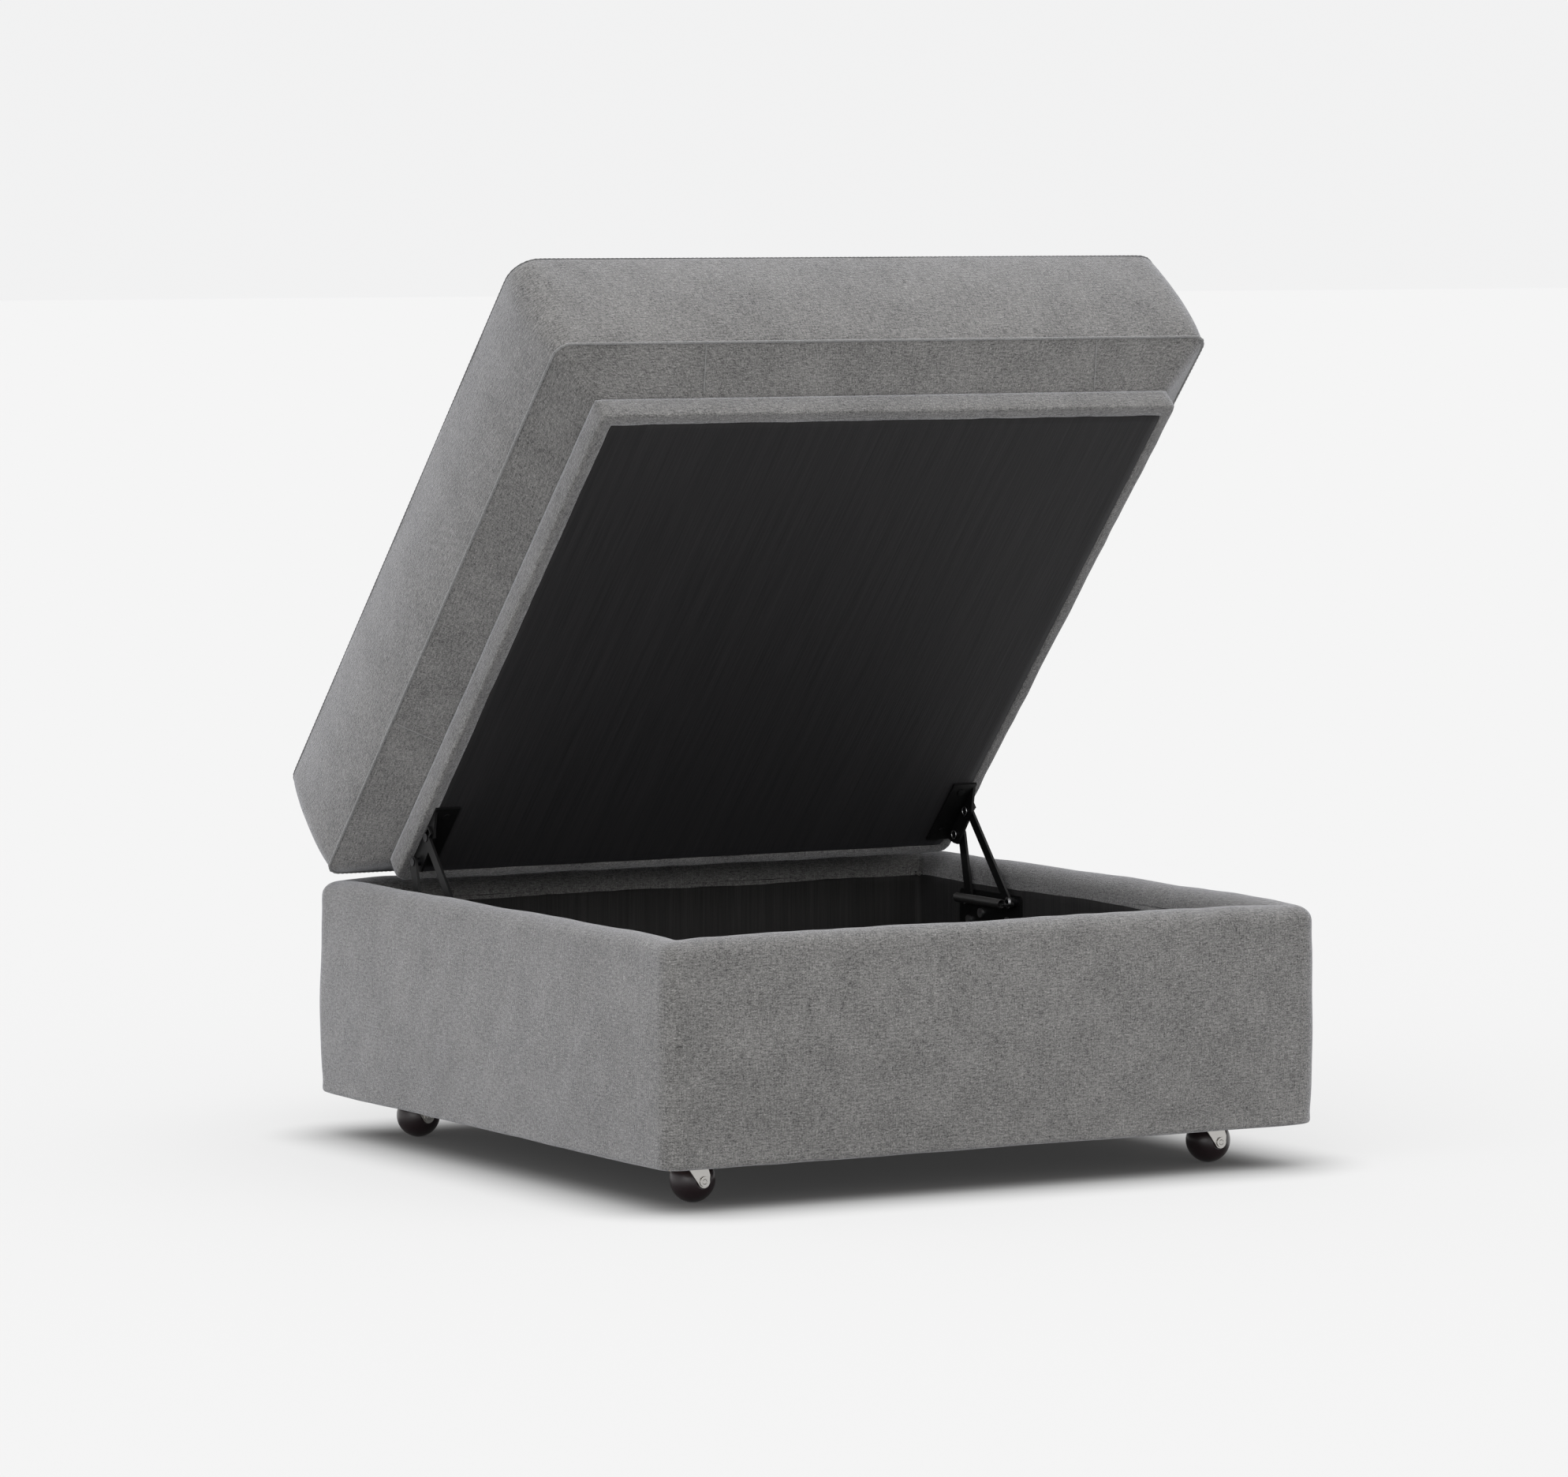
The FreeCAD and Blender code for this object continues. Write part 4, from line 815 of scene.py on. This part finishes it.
def seam_ridge(name, points, outward, radius, stitch, finish):
    """A thin stitched ridge: outward gives each point's direction away from the piece."""
    line = closed_line(points, stitch / 4)
    source = np.asarray(points)
    nearest = [int(np.argmin(((source - p) ** 2).sum(1))) for p in line]
    out = np.asarray(outward)[nearest]
    ahead = np.roll(line, -1, 0) - np.roll(line, 1, 0)
    ahead /= np.linalg.norm(ahead, axis=1)[:, None]
    out = out - (out * ahead).sum(1)[:, None] * ahead
    out /= np.linalg.norm(out, axis=1)[:, None]
    side = np.cross(ahead, out)
    phase = np.arange(len(line)) / 4 * 2 * math.pi
    pinch = 1 - 0.24 * (0.5 + 0.5 * np.cos(phase))
    skin = Skin()
    around = 8
    rows = []
    for k in range(around):
        angle = 2 * math.pi * k / around
        offset = (side * math.cos(angle) * radius * 0.8
                  + out * (math.sin(angle) * radius)) * pinch[:, None]
        rows.append(skin.take(line + offset))
    run = np.concatenate([[0], np.cumsum(np.linalg.norm(np.roll(line, -1, 0) - line, axis=1))])
    skin.sleeve(rows, run, 2 * math.pi * radius / around, closed=True, turned=True)
    return skin.make(name, finish)


# Two copies of the upholstery: a lighter one for the bottom seam and the border joins, a painted
# highlight, and a darker one for the top seam, painted shade.
seam_cloth_painted_highlight = chenille("seam_cloth_painted_highlight", (0.200, 0.200, 0.197), 0.6, 0.10)
seam_cloth_painted_shade = chenille("seam_cloth_shaded", (0.085, 0.085, 0.084), 0.6, 0.10)
flat_lid = read_points(lid_cushion) @ lean_rows - lid_origin
centre = np.array([0.0, -lid_depth / 2, 0.0])
STITCH = 0.0056
for label, lean_up, sunk, radius, finish in (("bottom", -0.30, 0.0, 0.0020, seam_cloth_painted_highlight),
                                             ("top", 0.35, 0.0006, 0.0015, seam_cloth_painted_shade)):
    line = flat_lid[seam_rows[label]]
    away = (line - centre) * (1, 1, 0)
    away /= np.linalg.norm(away, axis=1)[:, None]
    ridge = seam_ridge("seam_" + label, line - away * sunk, away + np.array([0, 0, lean_up]),
                       radius, STITCH, finish)
    write_points(ridge, to_row_frame(read_points(ridge)))
    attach(ridge, "lid")
    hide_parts("welt_" + label)
print("two stitched seams")

# %% [markdown]
# ## The box's cover
# The four sides are panels wrapped in thin foam, so they are firm: each face bows out a few
# millimetres between its corners, rolls over the padded rim, and comes down inside as a
# short band whose lower edge wanders a little. The profile is one closed line, carried
# round the box, so the cover has thickness and an inside.

# %% Profile of the covered wall
BOX_PER_SIDE = 150
wall = half - inner
roll = wall / 2
foam = 0.0100
crest = rim_top - roll
outline = [(foam, crest - 0.002), (foam, skirt + 0.005), (0.036, skirt + 0.0035),
           (0.038, skirt + 0.0015), (0.034, skirt + 0.0004), (0.016, skirt),
           (0.0062, skirt + 0.0004), (0.0032, skirt + 0.0022), (0.0024, skirt + 0.006)]
for t in np.linspace(0.06, 0.94, 22):
    outline.append((0.0050 * (1 - math.sin(math.pi * t) ** 0.7), skirt + (crest - skirt) * t))
for k in range(1, 10):
    turn = math.radians(180 * k / 10)
    outline.append((roll - roll * math.cos(turn) + 0.0018 * (1 - k / 10),
                    crest + roll * math.sin(turn)))
outline += [(wall, crest - 0.001), (wall, band_low + 0.005), (wall + 0.0002, band_low + 0.002),
            (wall - 0.0008, band_low + 0.0004), (wall - 0.0022, band_low + 0.0012),
            (wall - 0.0024, crest - 0.003), (roll, crest - 0.002)]
box_rings = [ring(-half + inset, half - inset, -half + inset, half - inset, height,
                  max(0.021 - inset, 0.0055), BOX_PER_SIDE) for inset, height in outline]
box_skin = Skin()
box_rows = box_skin.wrap(box_rings, closed=True)
box_cover = box_skin.make("box_cover", upholstery)
print("cover cut with", len(box_skin.faces), "faces")


# %% Give the cover its bow, its soft corners and its uneven edge
def nearness(distance, reach):
    return np.exp(-(distance / reach) ** 2)


points = read_points(box_cover)
normals = read_normals(box_cover)
beside = np.minimum(half - np.abs(points[:, 0]), half - np.abs(points[:, 1]))
corner_far = np.hypot(half - np.abs(points[:, 0]), half - np.abs(points[:, 1]))
outside = np.clip((0.012 - beside) / 0.008, 0, 1) * (points[:, 2] < crest + 0.01)
tall = np.clip((points[:, 2] - skirt) / (crest - skirt), 0, 1)
bow = 0.0042 * np.sin(math.pi * tall) ** 0.8 * (1 - nearness(corner_far, 0.10)) * outside
bow -= 0.0016 * nearness(corner_far - 0.012, 0.020) * outside * np.sin(math.pi * tall)
bow += outside * (0.00075 * ripples(points, 0.20, 11) + 0.0004 * ripples(points, 0.06, 12))
on_rim = np.clip((points[:, 2] - crest) / 0.008, 0, 1)
bow += on_rim * (0.0007 * ripples(points, 0.12, 13) + 0.0004 * ripples(points, 0.04, 14))
points = points + normals * bow[:, None]
mitre = nearness(np.abs(np.abs(points[:, 0]) - np.abs(points[:, 1])), 0.011)
near_corner = nearness(np.maximum(corner_far - 0.03, 0), 0.035)
points[:, 2] -= on_rim * near_corner * (0.0018 + 0.0005 * mitre)
points[:, 2] -= on_rim * 0.0013
low_corner = nearness(np.maximum(corner_far - 0.008, 0), 0.022)
lift = 0.0006 * low_corner * np.clip(1 - (points[:, 2] - skirt) / 0.05, 0, 1)
points[:, 2] += lift
tuck = 0.0008 * low_corner * nearness(points[:, 2] - skirt - 0.006, 0.018) * (beside < 0.03)
points[:, :2] -= (np.sign(points[:, :2]) * tuck[:, None]
                  * (half - np.abs(points[:, :2]) < 0.03))
band = np.clip((beside - (wall - 0.004)) / 0.003, 0, 1) * (points[:, 2] < crest - 0.004)
points[:, 2] += band * (0.0011 * ripples(points * (1, 1, 0), 0.16, 15)
                        + 0.0005 * ripples(points * (1, 1, 0), 0.05, 16) - 0.0008)
write_points(box_cover, points)
finer = box_cover.modifiers.new("finer_cloth", "SUBSURF")
finer.levels = finer.render_levels = 1
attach(box_cover, "base")
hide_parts("base_cover", "base_foam")
print("box covered")


# %% [markdown]
# ## Butt joins
# Where a length of cloth ends, two edges are sewn flat with no cord between them. All that
# shows is one raised thread, so a fine tube along a line of the surface is enough.

# %% Sew the corner joins
def join_line(name, points, outward, radius, finish, body):
    """A thin ridge along an open line of points, standing half out of the cloth."""
    line = np.asarray(points, float)
    ahead = np.gradient(line, axis=0)
    ahead /= np.linalg.norm(ahead, axis=1)[:, None]
    out = np.asarray(outward, float)
    out = out - (out * ahead).sum(1)[:, None] * ahead
    out /= np.linalg.norm(out, axis=1)[:, None]
    side = np.cross(ahead, out)
    run = np.concatenate([[0], np.cumsum(np.linalg.norm(np.diff(line, axis=0), axis=1))])
    ease = np.minimum(1, np.minimum(run, run[-1] - run) / 0.004 + 0.15)
    skin = Skin()
    rows = []
    for k in range(6):
        angle = 2 * math.pi * k / 6
        rows.append(skin.take(line + (side * math.cos(angle) + out * math.sin(angle))
                              * (radius * ease)[:, None]))
    skin.sleeve(rows, run, radius, closed=False, turned=True)
    skin.add_face([r[0] for r in rows], [(0.0, 0.0)] * 6, True)
    skin.add_face([r[-1] for r in rows][::-1], [(0.0, 0.0)] * 6, True)
    ridge = skin.make(name, finish)
    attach(ridge, body)
    return ridge


shown = [j for j, (inset, height) in enumerate(outline)
         if inset < roll and height > skirt + 0.004 and j > 6]
for corner, label in enumerate(("front_left", "front_right", "back_right", "back_left")):
    at = (corner * BOX_PER_SIDE + (4 if corner in (0, 2) else -4)) % (4 * BOX_PER_SIDE)
    seam = np.array([points[box_rows[j][at]] for j in shown])
    facing = np.array([normals[box_rows[j][at]] for j in shown])
    join_line("corner_join_" + label, seam - facing * 0.0001, facing, 0.0005, upholstery, "base")
print("four corner joins")


# %% Join the border's lengths
def across_border(x_place, side):
    """A line down the border in the lid's own frame: side 0 is the front, 1 the left."""
    t = np.linspace(0.04, 0.97, 24)
    inset = border_inset * t
    if side == 0:
        line = np.column_stack([np.full(24, x_place), -lid_depth + inset, border_low * t])
        facing = np.tile([0.0, border_low, -border_inset], (24, 1))
    else:
        line = np.column_stack([-lid_half + inset, np.full(24, x_place), border_low * t])
        facing = np.tile([border_low, 0.0, -border_inset], (24, 1))
    facing /= np.linalg.norm(facing[0])
    return line + facing * 0.0006, facing


# The border joins are in the lighter seam cloth, a painted highlight.
for k, (x_place, side) in enumerate(((0.270, 0), (-0.235, 0), (-lid_depth * 0.30, 1))):
    line, facing = across_border(x_place, side)
    join_line("border_join_%d" % k, to_row_frame(line), facing @ lean_rows.T, 0.0007,
              seam_cloth_painted_highlight, "lid")
print("border joins sewn")

# %% [markdown]
# ## Lining, dust covers and the plinth
# Thin cloths are closed sheets with two faces: stretched over a frame, they lie almost
# flat, with slow ripples where the fixing pulls them.


# %% Line the well
def loop_of(profile, radius, south, north, across, count):
    """Rings along a closed profile of (inset, height), for a strip that goes all round."""
    return [ring(-across + inset, across - inset, south + inset, north - inset, height,
                 radius, count) for inset, height in profile]


lining_top = band_low + 0.006
thin = 0.0014
heights = np.linspace(floor_top - 0.001, lining_top, 16)
strip = [(0.0, z) for z in heights] + [(-thin, z) for z in heights[::-1]]
lining_rings = loop_of(strip, 0.005, -inner, inner, inner, 110)
lining_skin = Skin()
lining_skin.wrap(lining_rings, turned=True, closed=True)
well_walls = lining_skin.make("well_wall_lining", well_lining)
points = read_points(well_walls)
points[:, :2] *= 1 + (0.0006 * np.clip(1 + ripples(points, 0.09, 21), 0, 2)
                      * np.sin(math.pi * np.clip((points[:, 2] - floor_top)
                                                 / (lining_top - floor_top), 0, 1)))[:, None]
write_points(well_walls, points)
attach(well_walls, "base")
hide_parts("lining_walls")


def flat_cloth(name, west, east, south, north, low, high, corner, count, finish):
    """A rectangle of cloth with two faces, its corners slightly rounded."""
    edge = [ring(west + step, east - step, south + step, north - step, height, corner, count)
            for step, height in ((0.0004, low), (0.0, (low + high) / 2), (0.0004, high))]
    skin = Skin()
    rows = skin.wrap(edge)
    skin.close(rows[0], count, turned=True)
    skin.close(rows[-1], count)
    return skin.make(name, finish)


print("well walls lined, %.0f mm high" % (1000 * (lining_top - floor_top)))

# %% Line the well's floor
floor_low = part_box("lining_floor")[0].z
well_floor = flat_cloth("well_floor_lining", -inner, inner, -inner, inner, floor_low, floor_top,
                        0.004, 60, well_lining)
points = read_points(well_floor)
rise = 0.0012 * np.clip(1 + ripples(points, 0.15, 22), 0, 2) * (points[:, 2] > floor_low + 0.001)
points[:, 2] += rise * np.clip((inner - np.abs(points[:, :2]).max(1)) / 0.03, 0, 1)
write_points(well_floor, points)
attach(well_floor, "base")
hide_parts("lining_floor")

print("well floor lined")

# %% Tack the dust cloth under the box
dust_low, dust_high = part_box("base_dust_cover")
under_cloth = flat_cloth("box_dust_cloth", dust_low.x, dust_high.x, dust_low.y, dust_high.y,
                         dust_low.z, dust_high.z, 0.004, 60, dust_cloth)
points = read_points(under_cloth)
points[:, 2] -= 0.0008 * np.clip(1 + ripples(points * (1, 1, 0), 0.12, 23), 0, 2) * np.clip(
    (dust_high.x - np.abs(points[:, :2]).max(1)) / 0.04, 0, 1)
write_points(under_cloth, points)
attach(under_cloth, "base")
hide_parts("base_dust_cover")
print("underside covered")

# %% [markdown]
# ## The plinth
# The plinth drops into the well when the lid shuts. Its cloth is folded under to a narrow
# margin and a black panel is tacked over the rest, so it is one closed profile carried
# round, tight at the front corners and rounder at the back where the cloth is pleated.

# %% Cover the plinth and its underside panel
panel = in_lid_frame(points_of("lid_dust_cover")) - lid_origin
panel_low, panel_high = panel.min(0), panel.max(0)
plinth = in_lid_frame(points_of("plinth_cover")) - lid_origin
plinth_south, plinth_north = plinth[:, 1].min(), plinth[:, 1].max()
margin = plinth_half - panel_high[0]
edge = 0.0035
front_bend, back_bend = 0.006, 0.014
profile = [(0.0040, plinth_low + 0.0030), (margin - 0.001, plinth_low + 0.0022),
           (margin + 0.0004, plinth_low + 0.0012), (margin - 0.0004, plinth_low + 0.0003),
           (margin * 0.7, plinth_low), (edge * 1.4, plinth_low)]
for k in range(1, 5):
    turn = math.radians(90 * k / 5)
    profile.append((edge - edge * math.sin(turn), plinth_low + edge - edge * math.cos(turn)))
profile += [(0.0, plinth_low + edge)]
for t in (0.3, 0.5, 0.7, 0.85):
    profile.append((-0.0008 * math.sin(math.pi * t), plinth_low + (border_low - plinth_low) * t))
profile += [(0.0, border_low + 0.0015), (0.0035, border_low + 0.0015)]
plinth_rings = []
for inset, height in profile:
    bends = [max(front_bend - inset, 0.002)] * 2 + [max(back_bend - inset, 0.002)] * 2
    plinth_rings.append(ring(-plinth_half + inset, plinth_half - inset, plinth_south + inset,
                             plinth_north - inset, height, bends, 96))
plinth_skin = Skin()
plinth_skin.wrap(plinth_rings, closed=True)
plinth_wrap = plinth_skin.make("plinth_wrap", upholstery)
points = read_points(plinth_wrap)
outer_side = points[:, 2] < border_low
swell(plinth_wrap, outer_side * (0.0005 * ripples(points, 0.10, 31)
                                 + 0.0003 * ripples(points, 0.035, 32)))
write_points(plinth_wrap, to_row_frame(read_points(plinth_wrap)))
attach(plinth_wrap, "lid")
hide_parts("plinth_cover")

print("plinth covered, margin %.1f mm" % (margin * 1000))

# %% Tack the black panel under the lid
under_panel = flat_cloth("lid_under_panel", panel_low[0], panel_high[0], panel_low[1],
                         panel_high[1], panel_low[2], panel_high[2], 0.003, 70, lid_underside)
write_points(under_panel, to_row_frame(read_points(under_panel)))
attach(under_panel, "lid")
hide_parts("lid_dust_cover")
print("under panel tacked on")

# %% [markdown]
# ## Pull springs
# Each hinge has a close-wound spring hooked between its two bars. The winding is a helix, so its
# wire is swept along a formula. The bars turn different ways as the lid shuts; the spring is
# made as two halves, each with its hook at one end.

# %% Wind the springs and hook them on the bars
COIL_RADIUS, COIL_WIRE, COIL_PITCH = 0.0050, 0.0012, 0.00135


def coil(name, side, start, end, across, height, radius, wire, pitch):
    """Half of a close-wound spring, as one swept wire."""
    turns = abs(end - start) / pitch
    count = int(turns * 14)
    angle = np.linspace(0, turns * 2 * math.pi, count)
    y = np.linspace(start, end, count)
    path = np.column_stack([across + radius * np.cos(angle) * side,
                            y, height + radius * np.sin(angle)])
    ahead = np.gradient(path, axis=0)
    ahead /= np.linalg.norm(ahead, axis=1)[:, None]
    out = path - np.column_stack([np.full(count, across), y, np.full(count, height)])
    out /= np.linalg.norm(out, axis=1)[:, None]
    bent = np.cross(ahead, out)
    skin = Skin()
    rows = [skin.take(path + (out * math.cos(a) + bent * math.sin(a)) * wire / 2)
            for a in np.arange(6) * math.pi / 3]
    skin.sleeve(rows, np.zeros(count), 0.0, closed=False, turned=side < 0)
    return skin.make(name, spring_coat)


def hook(name, centre, towards, across, height, wire):
    """The eye at the end of a spring, with a short shank to the coil."""
    eye = 0.0024
    angles = np.linspace(0.35, 2 * math.pi - 0.35, 26)
    ring_line = [(across, centre + towards * eye * math.cos(a), height + eye * math.sin(a))
                 for a in angles]
    shank = [(across, centre + towards * (eye + 0.0045), height - 0.0032)]
    line = np.array(shank + ring_line[::-1] + shank)
    curve = bpy.data.curves.new(name, "CURVE")
    curve.dimensions = "3D"
    curve.bevel_depth = wire / 2
    curve.bevel_resolution = 2
    spline = curve.splines.new("POLY")
    spline.points.add(len(line) - 1)
    for point, place in zip(spline.points, line):
        point.co = (*place, 1.0)
    holder = bpy.data.objects.new(name + "_curve", curve)
    bpy.context.scene.collection.objects.link(holder)
    mesh = bpy.data.meshes.new_from_object(holder)
    bpy.data.objects.remove(holder)
    mesh.materials.clear()
    mesh.materials.append(spring_coat)
    piece = bpy.data.objects.new(name, mesh)
    bpy.context.scene.collection.objects.link(piece)
    return piece


def joined(pieces, name):
    """One mesh from several, in the first piece's place."""
    whole = bmesh.new()
    for piece in pieces:
        whole.from_mesh(piece.data)
    mesh = pieces[0].data
    whole.to_mesh(mesh)
    whole.free()
    for piece in pieces[1:]:
        bpy.data.objects.remove(piece)
    pieces[0].name = name
    mesh.polygons.foreach_set("use_smooth", [True] * len(mesh.polygons))
    return pieces[0]


for side, label in ((1, "right"), (-1, "left")):
    low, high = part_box("hinge_spring_" + label)
    across = (low.x + high.x) / 2
    height = (low.z + high.z) / 2
    front, back = low.y + 0.0028, high.y - 0.0028
    middle = (front + back) / 2
    halves = []
    for part, end, towards in (("front", front, 1), ("rear", back, -1)):
        body = coil("coil_" + part, side, middle, end + towards * 0.006, across, height,
                    COIL_RADIUS, COIL_WIRE, COIL_PITCH)
        eye = hook("eye_" + part, end, towards, across, height, 0.0014)
        piece = joined([body, eye], "lift_spring_%s_%s" % (part, label))
        if part == "front":
            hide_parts("hinge_spring_" + label)
        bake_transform(piece)
        halves.append(piece.name)
print("springs", halves)

# %% [markdown]
# ## Rivets and casters
# A rivet's shop head is a turned rim round a shallow dish. Under light, the rim is what shows,
# so each head gets a thin bright rim, with a second one where a washer lies under it. On the
# blackened hinge rivets these bright zinc rims are painted highlight; on the caster legs the
# rims are the legs' own metal.


# %% Turn a rim
def rim(name, centre, axis, outer, thick, finish, body):
    """A thin round ring about an axis (0 for X, 1 for Y)."""
    count, around = 48, 10
    turn = np.arange(count) / count * 2 * math.pi
    skin = Skin()
    rows = []
    for k in range(around):
        angle = 2 * math.pi * k / around
        radius = outer - thick + thick * math.cos(angle)
        flat = np.zeros((count, 3))
        first, second = (1, 2) if axis == 0 else (0, 2)
        flat[:, first] = radius * np.cos(turn)
        flat[:, second] = radius * np.sin(turn)
        flat[:, axis] = thick * math.sin(angle) * 0.8
        rows.append(skin.take(flat + np.asarray(centre)))
    skin.sleeve(rows, np.zeros(count + 1), 0.0, closed=True, turned=axis == 0)
    piece = skin.make(name, finish)
    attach(piece, body)
    return piece


def two_heads(node):
    """The centres of a node's two rivets, front one first, and its X range."""
    cloud = points_of(node)
    split = (cloud[:, 1].min() + cloud[:, 1].max()) / 2
    centres = []
    for part in (cloud[cloud[:, 1] < split], cloud[cloud[:, 1] >= split]):
        centres.append((part.min(0) + part.max(0)) / 2)
    return centres, cloud[:, 0].min(), cloud[:, 0].max()


for side, label in ((1, "right"), (-1, "left")):
    for node, body, washers in (("hinge_lid_rivets_", "lid", (False, False)),
                                ("hinge_base_rivets_", "base", (True, False))):
        centres, low_x, high_x = two_heads(node + label)
        face = low_x if side > 0 else high_x
        for k, centre in enumerate(centres):
            spot = (face + side * 0.0002, centre[1], centre[2])
            # A bright zinc rim on a blackened rivet: a painted highlight.
            rim("rivet_rim_%s%s_%d" % (node[6:], label, k), spot, 0, 0.0056, 0.0008,
                bright_zinc_and_rim_highlight, body)
            if washers[k]:
                rim("washer_highlight_rim_%s_%d" % (label, k), (face + side * 0.0012, *spot[1:]), 0,
                    0.0068, 0.0007, bright_zinc_and_rim_highlight, body)
print("hinge rims turned")

# %% Dress the caster legs
for corner in ("front_left", "front_right", "back_left", "back_right"):
    low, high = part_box("caster_axle_" + corner)
    middle = (low + high) / 2
    for k, face in enumerate((low.y, high.y)):
        inward = 1 if k == 0 else -1
        for outer, step in ((0.0056, 0.0007), (0.0033, 0.0001)):
            rim("leg_rim_%s_%d_%d" % (corner, k, int(outer * 1e4)),
                (middle.x, face + inward * step, middle.z), 1, outer, 0.0006,
                pressed_nickel, "caster_swivel_" + corner)
print("caster rivets dressed")
